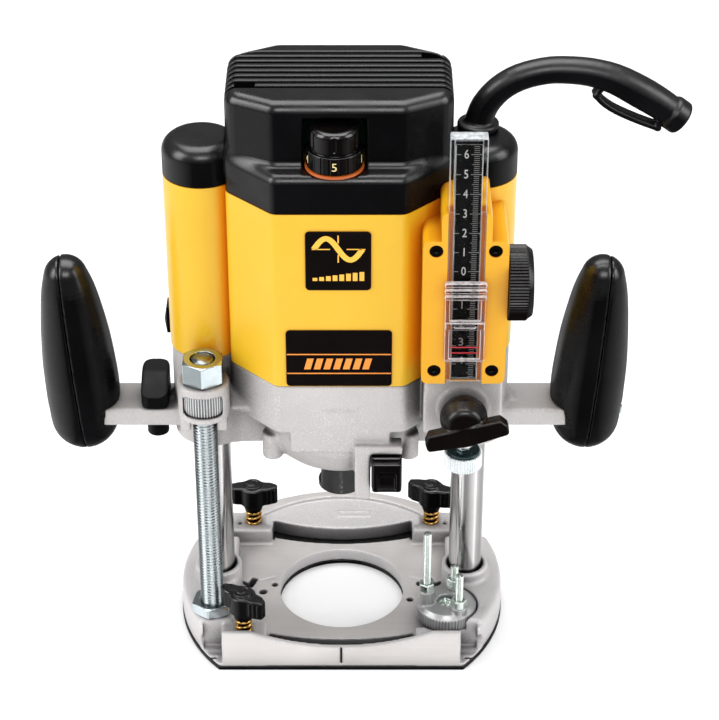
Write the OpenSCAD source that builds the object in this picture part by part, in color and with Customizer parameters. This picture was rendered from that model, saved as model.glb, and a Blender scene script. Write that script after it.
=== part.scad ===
// Plunge router: an electric motor carriage that slides on two columns above a round base.
// Millimetres, +Z up. The origin is on the collet axis, in the plane of the base's underside.
// The carriage is drawn at the top of its stroke, where its springs hold it.

/* [Base] */
// Radius of the round base
base_r = 84; // [82:0.5:88]
// Distance from the collet axis to the flat front edge
base_front = 56.5; // [56:0.5:58]
// Height of the flat deck around the cutter opening
deck_z = 9; // [8:0.5:10]
// Height of the raised sides that carry the columns
side_z = 20; // [19.5:0.5:20.5]
// Thickness of the plastic sole plate
sole_t = 2; // [1.5:0.25:2.5]
// Radius of the cutter opening
opening_r = 32.5; // [30:0.5:33]

/* [Columns and plunge] */
// Distance of each column from the collet axis
column_x = 64.4; // [64:0.2:65]
// Radius of the columns
column_r = 8.5; // [8.5:0.1:8.7]
// Height of the columns' top ends
column_top = 186; // [180:1:200]
// Radius of the aluminium towers around the columns
tower_r = 18.5; // [18:0.25:19]

/* [Motor] */
// Height of the joint between the casting and the plastic motor housing
casting_top = 164; // [163:0.5:165]
// Height of the joint between the motor housing and the top cover
housing_top = 257; // [255:0.5:258]
// Height of the top cover's flat top
cover_top = 308; // [306:0.5:310]
// Half depth of the motor housing, front to back
housing_y = 43.5; // [43:0.25:44]
// Half width of the motor housing's flat front
housing_flat = 30.5; // [29:0.5:32]
// Wall thickness of the plastic shells
wall = 3; // [2.5:0.25:3.5]

/* [Handles] */
// Distance of the left handle's middle from the collet axis
handle_left = 129; // [127:0.5:131]
// Distance of the right handle's middle from the collet axis
handle_right = 124; // [122:0.5:126]
// Radius of a handle where it is widest
handle_r = 17.5; // [16.5:0.25:18]

/* [Depth stop] */
// Across position of the depth rod
rod_x = 60; // [59.5:0.25:60.5]
// Front position of the depth rod
rod_y = -36; // [-36.5:0.25:-35.5]
// Radius of the knurled foot wheel on the depth rod
foot_r = 9.5; // [8.5:0.25:9.5]
// Teeth on the depth knob's pinion
pinion_teeth = 12; // [12:1:13]

/* [Hidden] */
$fn = 72;
fit = 0.05;
gap = 0.1;
eps = 0.01;

// base
clamp_y = 46.5;
clamp_x = 48;
clamp_front_x = 49.5;
rod_bore_r = 5.05;
rod_bore_z = 8.2;
wall_z = 23.3;
wall_end_x = 60.5;
wall_dip_z = 16;
wall_dip_half = 46;
wall_y = base_front - 5.8;
boss_r = 12;
boss_z = 26;
turret_x = 54;
turret_y = -27.5;
turret_r = 15.6;
turret_z = 13.6;
turret_h = 8.6;
stop_ring_r = 10.3;
stop_r = 2.1;
stop_angles = [-54.5, 65.5, 185.5];
stop_boss_tops = [25, 25, 30];
stop_tops = [49.5, 44, 65.5];
nut_h = 5;

// fine height rod
screw_x = -66;
screw_y = -31;
screw_r = 6;
screw_pitch = 1.75;
screw_foot = side_z - 12;
screw_top = 171;

// carriage
nose_z = 97;
tower_low = 112;
bowl_z = 130;
cavity_r = 39.5;
bush_r = 10.5;
arm_z = [120.5, 130];
arm_half = 13;
block_front = -50;
block_x = [40, 77];
block_z = [141, 172.8];
handle_z = 138;
handle_top = 210.4;
handle_low = 101.5;
handle_lean = 4.5;
handle_wall = 3.5;
bridge_z = 245;
cable_y = 9.3;
cable_r = 3.2;

// housing outline
chamfer_x = 53;
chamfer_y = housing_y - (chamfer_x - housing_flat);
corner_r = 6;

// depth scale
bracket_front = -55;
bracket_back = -12;
bracket_x = [38.2, 77.4];
bracket_z = [173, 249.5];
scale_x = 58;
scale_z = [174.5, 300.5];
knob_z = 222.3;
tooth_m = 0.75;
pinion_r = tooth_m * pinion_teeth / 2;
pinion_y = rod_y - 4.25 - pinion_r;
lock_z = 156;

// ---------- shared shapes ----------

module at(x, y, z = 0) {
    translate([x, y, z]) children();
}

module both_sides(x) {
    for (side = [-1, 1]) translate([side * x, 0, 0]) children();
}

module tube(outer, inner, h) {
    difference() {
        cylinder(r = outer, h = h);
        translate([0, 0, -1]) cylinder(r = inner, h = h + 2);
    }
}

module box(low, high) {
    translate(low) cube(high - low);
}

// Hexagon across its corners, with both ends chamfered
module hexagon(across, h) {
    corner = across / sqrt(3);
    intersection() {
        cylinder(r = corner, h = h, $fn = 6);
        rotate_extrude()
            polygon([[0, 0], [corner * 0.9, 0], [corner, corner * 0.06],
                     [corner, h - corner * 0.06], [corner * 0.9, h], [0, h]]);
    }
}

// Ring of straight ribs around the Z axis
module ribs(r, count, size, h) {
    for (i = [0 : count - 1])
        rotate(i * 360 / count)
            translate([r - size / 2, -size / 2, 0])
                cube([size, size, h]);
}

// Upright disc with flat-topped ribs round its rim
module ribbed_disc(r, count, size, h) {
    linear_extrude(h) polygon([
        for (i = [0 : count - 1], step = [-1.2, -0.7, 0.7, 1.2])
            let (turn = i * 360 / count + step * size * 28.65 / r)
            (r + (abs(step) < 1 ? size / 2 : 0)) * [cos(turn), sin(turn)]
    ]);
}

// Outline of a turned thread, as separate V rings
function thread_outline(r, pitch, turns) = [
    for (i = [0 : turns - 1], step = [0, 1])
        [r - (step == 0 ? 0.6 * pitch : 0), (i + (step == 0 ? 0 : 0.5)) * pitch]
];

module threaded_rod(r, pitch, h) {
    turns = floor(h / pitch);
    rotate_extrude()
        polygon(concat([[0, 0]], thread_outline(r, pitch, turns), [[r - 1.5, h], [0, h]]));
}

// Coil made of short straight links
module coil(r, wire, h, turns, links) {
    steps = turns * links;
    for (i = [0 : steps - 1])
        hull() {
            coil_bead(r, wire, h, turns, i / steps);
            coil_bead(r, wire, h, turns, (i + 1) / steps);
        }
}

module coil_bead(r, wire, h, turns, t) {
    rotate(t * turns * 360)
        translate([r - wire, 0, wire + t * (h - 2 * wire)])
            rotate([90, 0, 0])
                cylinder(r = wire, h = 0.05, $fn = 5);
}

// Corners of an eight-sided outline: half width, half depth, and the flat front's half width
function octagon(x, y, flat, side) = [
    [-flat, -y], [flat, -y], [x, -side], [x, side], [flat, y], [-flat, y], [-x, side], [-x, -side]
];

function unit(v) = v / norm(v);

// Arc of radius r that rounds the corner p between the points before and after it
function rounded_corner(before, p, after, r) =
    let (d1 = unit(before - p), d2 = unit(after - p), middle = unit(d1 + d2),
         half = acos(d1 * d2) / 2, centre = p + middle * r / sin(half),
         start = atan2(-middle[1], -middle[0]) - (90 - half))
    [for (i = [0 : 6]) centre + r * [cos(start + i * (90 - half) / 3), sin(start + i * (90 - half) / 3)]];

// Polygon with every corner rounded; its points run anticlockwise and it has no hollow corners
module rounded(points, r) {
    n = len(points);
    polygon([for (i = [0 : n - 1], q = rounded_corner(points[(i + n - 1) % n], points[i],
                                                      points[(i + 1) % n], r)) q]);
}

// Outline of the motor body seen from above
module body_outline(grow = 0) {
    side = grow * tan(22.5);
    rounded(octagon(chamfer_x + grow, housing_y + grow, housing_flat + side, chamfer_y + side),
            corner_r + grow);
}

module base_outline(shrink = 0) {
    intersection() {
        circle(r = base_r - shrink, $fn = 180);
        translate([-100, -base_front + shrink]) square([200, 200]);
    }
}

// Curved slot between two arcs that bulge towards the front
module crescent(half, front_mid, front_end, back_mid, back_end) {
    intersection() {
        difference() {
            arc_disc(half, front_mid, front_end);
            arc_disc(half, back_mid, back_end);
        }
        translate([-half, -100]) square([2 * half, 200]);
    }
}

// Disc whose front edge passes through (0, mid) and (half, end)
module arc_disc(half, mid, end) {
    rise = end - mid;
    r = (half * half + rise * rise) / (2 * rise);
    translate([0, mid + r]) circle(r = r, $fn = 180);
}

// ---------- base ----------

module base_casting() {
    color("lightgray") difference() {
        union() {
            translate([0, 0, sole_t]) linear_extrude(deck_z - sole_t) base_outline(0.6);
            side_blocks();
            rod_housings();
            front_wall();
            rear_pad();
            both_sides(column_x) translate([0, 0, sole_t]) cylinder(r = boss_r, h = boss_z - sole_t);
        }
        base_cuts();
    }
}

module side_blocks() {
    translate([0, 0, sole_t]) linear_extrude(side_z - sole_t) intersection() {
        base_outline(0.6);
        for (side = [-1, 1])
            translate([side * 73 - 18, -41]) square([36, 72]);
    }
}

module rod_housings() {
    translate([0, 0, sole_t]) linear_extrude(16) intersection() {
        base_outline(0.6);
        for (side = [-1, 1], y = [-clamp_y - 9.9, clamp_y - 8.5])
            translate([side * 54 - 18, y]) square([36, 17]);
    }
}

module front_wall() {
    dip_rise = wall_z - wall_dip_z;
    dip_r = (wall_dip_half * wall_dip_half + dip_rise * dip_rise) / (2 * dip_rise);
    difference() {
        box([-wall_end_x, -base_front, sole_t], [wall_end_x, -wall_y, wall_z]);
        translate([0, 0, wall_dip_z + dip_r]) rotate([90, 0, 0])
            cylinder(r = dip_r, h = 200, center = true, $fn = 256);
    }
}

// Pad behind the rear slot
module rear_pad() {
    translate([0, 0, sole_t]) linear_extrude(12 - sole_t) difference() {
        base_outline(0.6);
        arc_disc_back(38, 50.4, 58);
    }
}

module arc_disc_back(half, mid, end) {
    rise = end - mid;
    r = (half * half + rise * rise) / (2 * rise);
    difference() {
        translate([-100, -100]) square([200, 260]);
        intersection() {
            translate([0, mid + r]) circle(r = r, $fn = 180);
            translate([-half - 3, 0]) square([2 * half + 6, 200]);
        }
    }
}

module base_cuts() {
    // cutter opening and chip slots
    cylinder(r = opening_r, h = 60, $fn = 128);
    linear_extrude(60) crescent(38, 38.6, 44.5, 50.4, 58);
    linear_extrude(deck_z + 1) crescent(37, -46.9, -42.5, -42.5, -38);
    // sockets for the columns
    both_sides(column_x) translate([0, 0, sole_t + 4]) cylinder(r = column_r + fit, h = 60);
    // corner pockets in front of the side blocks
    for (side = [-1, 1])
        box([side > 0 ? wall_end_x : -70.5, -80, sole_t + 1.5],
            [side > 0 ? 69.3 : -wall_end_x, -41, 60]);
    // seats of the turret and of the height screw
    at(turret_x, turret_y, turret_z - gap) cylinder(r = turret_r + 0.6, h = 60);
    at(turret_x, turret_y, sole_t + 2) cylinder(r = 2.5, h = 60);
    at(screw_x, screw_y, screw_foot - gap) cylinder(r = screw_r + fit, h = 60);
    // fence rod bores
    for (y = [-clamp_y, clamp_y])
        translate([0, y, rod_bore_z]) rotate([0, 90, 0])
            cylinder(r = rod_bore_r, h = 200, center = true);
    // clamp screw holes
    clamp_places() translate([0, 0, rod_bore_z]) cylinder(r = 3.1, h = 60);
    // guide bush holes and clip slots
    guide_bush_holes() cylinder(r = 2.1, h = 60);
    at(-35.4, 2.7) cylinder(r = 1.7, h = deck_z + 1);
    at(35.8, -10) cylinder(r = 1.7, h = deck_z + 1);
    for (side = [-1, 1])
        at(side * 47.3, 5, 0) rotate(side * 20) translate([-1.3, -4, 0]) cube([2.6, 7, deck_z + 1]);
    // cast index lines
    for (side = [-1, 1])
        at(side * 40, 7, deck_z - 0.3) rotate(side * -22) translate([-5, -0.3, 0]) cube([10, 0.6, 1]);
    box([-0.35, -base_front - 1, 4], [0.35, -base_front + 0.4, 13.5]);
    box([-4.5, 60, 11.5], [14, 62.5, 12.5]);
    // screw holes for the sole plate
    sole_screw_places() cylinder(r = 1.7, h = sole_t + 5);
}

module clamp_places() {
    at(-clamp_front_x, -clamp_y) children();
    at(-clamp_x, clamp_y) children();
    at(clamp_x, clamp_y) children();
}

module guide_bush_holes() {
    at(-41.5, -3.5) children();
    at(41.5, 3.5) children();
}

module sole_screw_places() {
    for (side = [-1, 1]) {
        at(side * 52, 24) children();
        at(side * 20, -36.8) children();
    }
}

module sole_plate() {
    color("#1c1c1e") difference() {
        linear_extrude(sole_t) base_outline();
        translate([0, 0, -1]) cylinder(r = opening_r, h = 10, $fn = 128);
        translate([0, 0, -1]) guide_bush_holes() cylinder(r = 2.1, h = 10);
        translate([0, 0, -1]) sole_screw_places() cylinder(r = 1.7, h = 10);
        translate([0, 0, -eps]) sole_screw_places() cylinder(r1 = 3.2, r2 = 1.7, h = 1.5);
    }
}

module sole_screws() {
    color("silver") sole_screw_places() {
        translate([0, 0, 0.15]) cylinder(r1 = 2.9, r2 = 1.6, h = 1.3);
        cylinder_between(1.6, 0.5, sole_t + 4.8);
    }
}

module cylinder_between(r, low, high) {
    translate([0, 0, low]) cylinder(r = r, h = high - low);
}

module guide_columns() {
    color("gainsboro") both_sides(column_x)
        translate([0, 0, sole_t + 4]) difference() {
            rotate_extrude() polygon([
                [0, 0], [column_r, 0], [column_r, column_top - sole_t - 5],
                [column_r - 1, column_top - sole_t - 4], [0, column_top - sole_t - 4]]);
            translate([0, 0, 3]) cylinder(r = column_r - 2.2, h = 400);
        }
}

module column_springs() {
    color("dimgray") both_sides(column_x)
        translate([0, 0, sole_t + 7.2]) coil(5.6, 0.7, 272.4 - sole_t - 7.2, 13, 8);
}

module height_screw() {
    color("#c9d8dc") at(screw_x, screw_y, screw_foot)
        threaded_rod(screw_r, screw_pitch, screw_top - screw_foot);
}

module nut_with_bore(across, h, bore) {
    difference() {
        hexagon(across, h);
        translate([0, 0, -1]) cylinder(r = bore, h = h + 2);
    }
}

module height_screw_nut() {
    color("#d6dde0") at(screw_x, screw_y, side_z) rotate(20) nut_with_bore(19, 6.5, screw_r + fit);
}

module return_stop_nut() {
    color("#d6dde0") at(screw_x, screw_y, 160.1) rotate(30) nut_with_bore(19, 12, screw_r + fit);
}

module clamp_springs() {
    color("goldenrod") clamp_places()
        translate([0, 0, sole_t + 16.1]) coil(3.9, 0.55, 7.9, 3, 10);
}

// Wing head with its screw, axis up, head seated at z = 26.2
module clamp_knob(turn) {
    color("#18181a") {
        translate([0, 0, 13.5]) cylinder(r = 2.6, h = 14);
        translate([0, 0, 26.2]) cylinder(r1 = 4.2, r2 = 5.6, h = 4.5);
        rotate(turn) wing_head();
    }
}

module wing_head() {
    translate([0, 0, 30.5]) cylinder(r = 6, h = 11.5);
    translate([0, 0, 41.5]) cylinder(r = 4.6, h = 1.3);
    for (side = [0, 180]) rotate(side) {
        hull() {
            translate([0, -4.2, 31]) cylinder(r = 1.6, h = 10.6, $fn = 24);
            translate([10, -3.4, 31.5]) cylinder(r = 1.5, h = 9.6, $fn = 24);
            translate([10, -0.6, 31.5]) cylinder(r = 1.5, h = 9.6, $fn = 24);
            translate([0, 0, 31]) cylinder(r = 1.6, h = 10.6, $fn = 24);
        }
        for (x = [6.5, 8.3, 10.1]) translate([x, -5.1, 32.5]) cylinder(r = 0.5, h = 7.6, $fn = 16);
    }
}

module clamp_knob_front_left() {
    at(-clamp_front_x, -clamp_y) clamp_knob(-25);
}

module clamp_knob_rear_left() {
    at(-clamp_x, clamp_y) clamp_knob(10);
}

module clamp_knob_rear_right() {
    at(clamp_x, clamp_y) clamp_knob(-10);
}

// ---------- revolving depth stop ----------

module turret_disc() {
    color("silver") at(turret_x, turret_y, turret_z) difference() {
        union() {
            ribbed_disc(turret_r - 0.45, 60, 0.9, 6);
            cylinder(r1 = turret_r - 0.7, r2 = turret_r - 0.9, h = 6.4);
            translate([0, 0, 6.3]) cylinder(r1 = turret_r - 0.9, r2 = turret_r - 3, h = turret_h - 6.3);
            for (i = [0 : 2]) rotate(stop_angles[i]) translate([stop_ring_r, 0, 0])
                cylinder(r = 4.2, h = stop_boss_tops[i] - turret_z);
        }
        translate([0, 0, -1]) cylinder(r = 2.5, h = 40);
        translate([0, 0, turret_h - 3]) cylinder(r = 5, h = 40);
        for (i = [0 : 2]) rotate(stop_angles[i]) translate([stop_ring_r, 0, 2])
            cylinder(r = stop_r + fit, h = 40);
    }
}

module turret_screw() {
    color("#cfc9a8") at(turret_x, turret_y) {
        cylinder_between(2.45, sole_t + 2.2, turret_z + turret_h - 2.9);
        difference() {
            cylinder_between(4.4, turret_z + turret_h - 2.9, turret_z + turret_h - 0.6);
            translate([0, 0, turret_z + turret_h - 1.6]) {
                translate([-3, -0.5, 0]) cube([6, 1, 4]);
                translate([-0.5, -3, 0]) cube([1, 6, 4]);
            }
        }
    }
}

module on_turret(i) {
    at(turret_x, turret_y) rotate(stop_angles[i]) translate([stop_ring_r, 0, 0]) children();
}

module turret_lock_nuts() {
    color("#d6dde0") for (i = [0 : 2]) on_turret(i)
        translate([0, 0, stop_boss_tops[i]]) rotate(15 * i) nut_with_bore(7.2, nut_h, stop_r + fit);
}

module stop_bolt(i, low) {
    color("#c7d6c9") on_turret(i) rotate_extrude()
        polygon([[0, low], [stop_r, low], [stop_r, stop_tops[i] - 0.5],
                 [stop_r - 0.5, stop_tops[i]], [0, stop_tops[i]]]);
}

module stop_bolt_low() {
    stop_bolt(1, 20);
}

module stop_bolt_middle() {
    stop_bolt(0, 21);
}

module stop_bolt_high() {
    stop_bolt(2, 24);
}

// ---------- carriage ----------

module carriage_casting() {
    color("#c9c7c5") difference() {
        union() {
            bowl();
            both_sides(column_x) cylinder_between(tower_r, tower_low, casting_top);
            tower_webs();
            arms();
            front_block();
            screw_boss();
            button_bracket();
        }
        carriage_cuts();
    }
}

module bowl() {
    translate([0, 0, bowl_z]) linear_extrude(casting_top - bowl_z) body_outline();
    hull() {
        translate([0, 0, bowl_z]) linear_extrude(0.1) body_outline();
        translate([0, 0, 112]) linear_extrude(0.1) rounded(octagon(44, 34, 24, 15), 8);
    }
    hull() {
        translate([0, 0, 112]) linear_extrude(0.1) rounded(octagon(44, 34, 24, 15), 8);
        translate([0, 0, 104]) linear_extrude(0.1) rounded(octagon(41, 29, 21, 10), 8);
    }
    translate([0, 0, nose_z]) cylinder(r1 = 21, r2 = 28, h = 7.1);
    for (side = [-1, 1]) at(side * 36.5, -14) cylinder_between(5, 98, 120);
    cylinder_between(17.5, nose_z - 4, nose_z + 1);
}

module tower_webs() {
    for (side = [-1, 1])
        box([side > 0 ? 38 : -62, -arm_half, tower_low - 1], [side > 0 ? 62 : -38, arm_half, casting_top]);
}

module arms() {
    for (side = [-1, 1]) {
        reach = side > 0 ? handle_right - 4 : handle_left - 4;
        box([side > 0 ? 70 : -reach, -arm_half, arm_z[0]],
            [side > 0 ? reach : -70, arm_half, arm_z[1]]);
    }
}

module front_block() {
    box([block_x[0], block_front, block_z[0]], [block_x[1], -10, casting_top]);
    difference() {
        box([block_x[0], block_front, casting_top - 1], [block_x[1], bracket_back, block_z[1]]);
        motor_clearance(casting_top);
    }
    translate([58.6, block_front + 2, lock_z]) rotate([90, 0, 0]) cylinder(r = 12.5, h = 2.6);
    hull() {
        box([45, -45, 138], [74, -16, 141]);
        box([50, -38, 130], [70, -16, 131]);
    }
}

module screw_boss() {
    at(screw_x, screw_y) cylinder_between(12.6, 141, 160);
    box([-76, -31, 141], [-56, -12, 158]);
    for (x = [-76, -60]) box([x, -34, 134], [x + 5, -16, 142]);
}

module button_bracket() {
    box([7, -47, 100], [14.6, -20, 131]);
    box([7, -47, 117], [30, -38, 131]);
}

module carriage_cuts() {
    // motor space, fan space and lower bearing seat
    translate([0, 0, 128]) cylinder(r = cavity_r, h = 60, $fn = 96);
    translate([0, 0, 113]) cylinder(r1 = 24, r2 = cavity_r, h = 15.01);
    cylinder_between(17.5 + fit, 100, 114);
    cylinder_between(13, 80, 120);
    // bushes
    both_sides(column_x) cylinder_between(bush_r + fit, 80, 200);
    // height screw and its ring
    at(screw_x, screw_y) {
        cylinder_between(screw_r + 0.6, 120, 170);
        cylinder_between(11.6, 143.9, 156.3);
        box([-9, -20, 144.2], [9, 0, 156]);
    }
    // depth rod and lock screw
    at(rod_x, rod_y) cylinder_between(5 + fit, 100, 200);
    at(rod_x, rod_y) cylinder_between(foot_r + 0.8, 120, 143.6);
    translate([58.6, rod_y, lock_z]) rotate([90, 0, 0]) cylinder(r = 3.1, h = 40);
    // lever pivot
    at(-92, 0) cylinder_between(4.1, 100, 140);
    // spindle lock button
    box([14.9, -53, 106.5], [30.1, -31.6, 125.5]);
    // handle and housing screws
    both_sides_screws() cylinder_between(2.05, 100, 190);
    for (side = [-1, 1]) handle_screw_at(side) cylinder(r = 2.6, h = 80, center = true);
    // scored line around the bowl
    box([-26, -housing_y - 1, 129.6], [24, -housing_y + 0.4, 130.4]);
}

module both_sides_screws() {
    for (sx = [-1, 1], sy = [-1, 1]) at(sx * 41, sy * 25.5) children();
}

module handle_screw_at(side) {
    x = side > 0 ? handle_right : -handle_left;
    translate([x, 0, 125.25]) rotate([0, 90, 0]) children();
}

// ---------- motor housing and covers ----------

module motor_housing() {
    color("#f7b512") difference() {
        union() {
            translate([0, 0, casting_top]) linear_extrude(housing_top - casting_top) body_outline();
            both_sides(65) cylinder_between(tower_r, casting_top, housing_top);
        }
        translate([0, 0, casting_top - 1]) linear_extrude(bridge_z - casting_top + 1) body_outline(-wall);
        // seat of the upper bearing in the bridge across the housing
        cylinder_between(13 + fit, 248, 270);
        cylinder_between(8, 240, 270);
        both_sides(65) cylinder_between(tower_r - wall, casting_top - 1, 270);
        both_sides_screws() cylinder_between(2.05, 160, 200);
        switch_window();
        screw_passages();
    }
    color("#f7b512") difference() {
        both_sides_screws() cylinder_between(4.5, casting_top, bridge_z);
        both_sides_screws() cylinder_between(2.05, 160, 180);
        screw_passages();
    }
}

module screw_passages() {
    bracket_screw_places() rotate([90, 0, 0]) cylinder(r = 1.75, h = 60);
}

module switch_window() {
    box([-90, 2, casting_top - 1], [-75, 14, 181]);
}

module top_cover() {
    color("#17171a") difference() {
        union() {
            cover_shell();
            both_sides_screws() cylinder_between(4, housing_top, housing_top + 13);
        }
        louvres();
        dial_pocket();
        both_sides_screws() cylinder_between(1.6, 250, 275);
    }
}

module cover_shell() {
    difference() {
        union() {
            translate([0, 0, housing_top]) linear_extrude(12) body_outline();
            hull() {
                translate([0, 0, housing_top + 12]) linear_extrude(0.1) body_outline(-0.1);
                translate([0, 0, housing_top + 17]) linear_extrude(0.1) body_outline(-1.6);
            }
            hull() {
                translate([0, 0, housing_top + 17]) linear_extrude(0.1) body_outline(-1.6);
                translate([0, 0, housing_top + 19.5]) linear_extrude(0.1) body_outline(-4.5);
            }
            upper_cover();
        }
        hull() {
            translate([0, 0, housing_top - 1]) linear_extrude(0.1) cover_outline(-4);
            translate([0, 0, cover_top - 12]) linear_extrude(0.1) cover_outline(-4);
        }
        translate([0, 0, housing_top - 1]) linear_extrude(9) body_outline(-4);
    }
}

// Outline of the cover above the shelf
module cover_outline(grow = 0) {
    side = grow * tan(22.5);
    rounded(octagon(52.5 + grow, 34 + grow, 28 + side, 13 + side), 6 + grow);
}

module upper_cover() {
    translate([0, 0, housing_top + 12]) linear_extrude(cover_top - housing_top - 20) cover_outline();
    hull() {
        translate([0, 0, cover_top - 8]) linear_extrude(0.1) cover_outline();
        translate([0, 0, cover_top - 2.4]) linear_extrude(0.1) cover_outline(-2.2);
    }
    hull() {
        translate([0, 0, cover_top - 2.5]) linear_extrude(0.1) cover_outline(-2.2);
        translate([0, 0, cover_top - 0.1]) linear_extrude(0.1) cover_outline(-4.8);
    }
}

module louvres() {
    for (i = [0 : 7])
        box([-60, -16.1 + i * 5.2, cover_top - 5], [60, -13.9 + i * 5.2, cover_top + 1]);
}

module dial_pocket() {
    at(-2, -33) {
        cylinder_between(14.2, housing_top + 19, 302);
        cylinder_between(4.2, housing_top, 302);
    }
}

module tower_caps() {
    color("#17171a") both_sides(65) difference() {
        union() {
            intersection() {
                rotate_extrude() polygon(concat(
                    [[0, housing_top], [tower_r, housing_top], [tower_r, 268]],
                    [for (a = [15 : 15 : 75]) [tower_r - 8 + 8 * cos(a), 268 + 8 * sin(a)]],
                    [[tower_r - 8, 276], [0, 276]]));
                difference() {
                    translate([-50, -50, 200]) cube([100, 100, 100]);
                    cap_side_cut();
                }
            }
            translate([0, 0, 200]) cylinder(r = 3, h = 74);
        }
        difference() {
            cylinder_between(tower_r - wall, housing_top - 1, 272.5);
            translate([0, 0, 200]) cylinder(r = 3, h = 74);
        }
        at(0, cable_y) cylinder_between(cable_r + gap, 260, 280);
    }
}

// The motor cover's side, as far as it cuts into a tower cap
module cap_side_cut() {
    for (side = [-1, 1])
        translate([-side * 65, 0, housing_top - 1])
            linear_extrude(60) body_outline(gap);
}

// Radius of a handle at each height above the base
handle_rows = [[7, 102.4], [12, 105.6], [15.2, 111.5], [16.9, 122], [17.5, 138], [16.7, 150], [15.3, 164],
               [13.3, 178], [11.4, 190], [10, 199], [8.4, 204.8], [5.6, 208.6]];

module handle_solid(inset) {
    rotate_extrude() polygon(concat(
        [[0, handle_low + inset]],
        [for (p = handle_rows) [p[0] * handle_r / 17.5 - inset * 0.9,
                                p[1] + inset * (handle_z - p[1]) / 60]],
        [[0, handle_top - inset * 1.3]]));
}

module handle_shell(side, outer) {
    x = side > 0 ? handle_right : -handle_left;
    half = outer ? side : -side;
    difference() {
        translate([x, 0, 125]) rotate([0, side * handle_lean, 0]) translate([0, 0, -125])
            intersection() {
                difference() {
                    handle_solid(0);
                    handle_solid(handle_wall);
                }
                translate([half > 0 ? gap / 2 : -60 - gap / 2, -50, 90]) cube([60, 100, 140]);
            }
        box([side > 0 ? 90 : -handle_left, -arm_half - gap, arm_z[0] - gap],
            [side > 0 ? handle_right : -90, arm_half + gap, arm_z[1] + gap]);
        handle_screw_at(side) cylinder(r = 2.6, h = 80, center = true);
        handle_screw_at(side) translate([0, 0, side * 13.6 - (side > 0 ? 0 : 20)])
            cylinder(r = 5.2, h = 20);
    }
}

module handle_outer_shells() {
    color("#1b1b1e") for (side = [-1, 1]) handle_shell(side, true);
}

module handle_inner_shells() {
    color("#1b1b1e") for (side = [-1, 1]) handle_shell(side, false);
}

module assembly_screws() {
    color("silver") {
        for (side = [-1, 1]) handle_screw_at(side) {
            translate([0, 0, side > 0 ? -12 : -13.8]) cylinder(r = 2.5, h = 25.8);
            translate([0, 0, side > 0 ? 13.8 : -16.3]) cylinder(r = 4.8, h = 2.5);
        }
        both_sides_screws() {
            cylinder_between(2, 140, 179);
            cylinder_between(1.55, 258, 274);
        }
    }
}

// ---------- depth scale ----------

module scale_bracket() {
    color("#f7b512") difference() {
        union() {
            rounded_bracket(bracket_x[0], bracket_x[1], bracket_z[0], bracket_z[1]);
            rounded_bracket(46.5, 69.5, bracket_z[1] - 10, 264);
        }
        // channel of the scale, rod passage and pinion room
        box([49.4, bracket_front - 1, 170], [66.6, bracket_front + 2.6, 270]);
        at(rod_x, rod_y) cylinder_between(5.3, 160, 300);
        translate([rod_x - 5, pinion_y, knob_z]) rotate([0, 90, 0]) cylinder(r = pinion_r + 1.2, h = 10);
        translate([rod_x, pinion_y, knob_z]) rotate([0, 90, 0]) cylinder(r = 3 + fit, h = 40);
        bracket_screw_places() rotate([90, 0, 0]) translate([0, 0, -bracket_front - 3.2]) {
            cylinder(r = 3.2, h = 10);
            translate([0, 0, -40]) cylinder(r = 1.75, h = 50);
        }
        motor_clearance(150);
    }
}

module rounded_bracket(x0, x1, z0, z1) {
    translate([0, bracket_back, 0]) rotate([90, 0, 0])
        linear_extrude(bracket_back - bracket_front)
            hull() for (x = [x0 + 3, x1 - 3], z = [z0 + 3, z1 - 3])
                translate([x, z]) circle(r = 3, $fn = 32);
}

// Room for the motor housing and its tower behind the block and the bracket
module motor_clearance(low) {
    translate([0, 0, low]) linear_extrude(120) body_outline(gap);
    at(65, 0) cylinder_between(tower_r + gap, low, low + 120);
}

module bracket_screw_places() {
    for (p = [[44.2, 244.5], [71.2, 244.5], [44.2, 180.2], [71.2, 180.2]])
        translate([p[0], 0, p[1]]) children();
}

module bracket_screws() {
    color("#141416") bracket_screw_places() rotate([90, 0, 0])
        translate([0, 0, -bracket_front - 3.1]) {
            difference() {
                cylinder(r = 3, h = 2.8);
                translate([0, 0, 1.4]) cylinder(r = 1.4, h = 5, $fn = 6);
            }
            translate([0, 0, -35]) cylinder(r = 1.65, h = 35.5);
        }
}

module scale_strip() {
    color("#111112") box([scale_x - 6, bracket_front + 1.4, scale_z[0]],
                         [scale_x + 6, bracket_front + 2.5, scale_z[1]]);
}

module scale_cover() {
    color("#dfeaf0", 0.4) difference() {
        union() {
            box([49.5, bracket_front, 174], [66.5, bracket_front + 2.5, 264.3]);
            box([49.5, bracket_front, 264.2], [66.5, bracket_front + 8, 301.5]);
        }
        box([51.8, bracket_front + 1.3, 170], [64.2, bracket_front + 9, 300.6]);
    }
}

module scale_cursor() {
    color("#f2dfe2", 0.5) {
        box([48.6, bracket_front - 2.2, 186], [67.4, bracket_front - 0.15, 229]);
        for (z = [221.5, 225, 228.5])
            box([48.2, bracket_front - 4, z - 1], [67.8, bracket_front - 2.1, z + 1]);
        box([49, bracket_front - 3.4, 204], [67, bracket_front - 2.1, 208]);
    }
}

// Involute point at a roll angle in degrees
function involute(base_radius, roll) = [
    base_radius * (cos(roll) + roll * PI / 180 * sin(roll)),
    base_radius * (sin(roll) - roll * PI / 180 * cos(roll))
];

function turned(p, a) = [p[0] * cos(a) - p[1] * sin(a), p[0] * sin(a) + p[1] * cos(a)];

// Roll angle at which the involute reaches a radius
function roll_at(base_radius, r) = sqrt(max(0, pow(r / base_radius, 2) - 1)) * 180 / PI;

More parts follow.
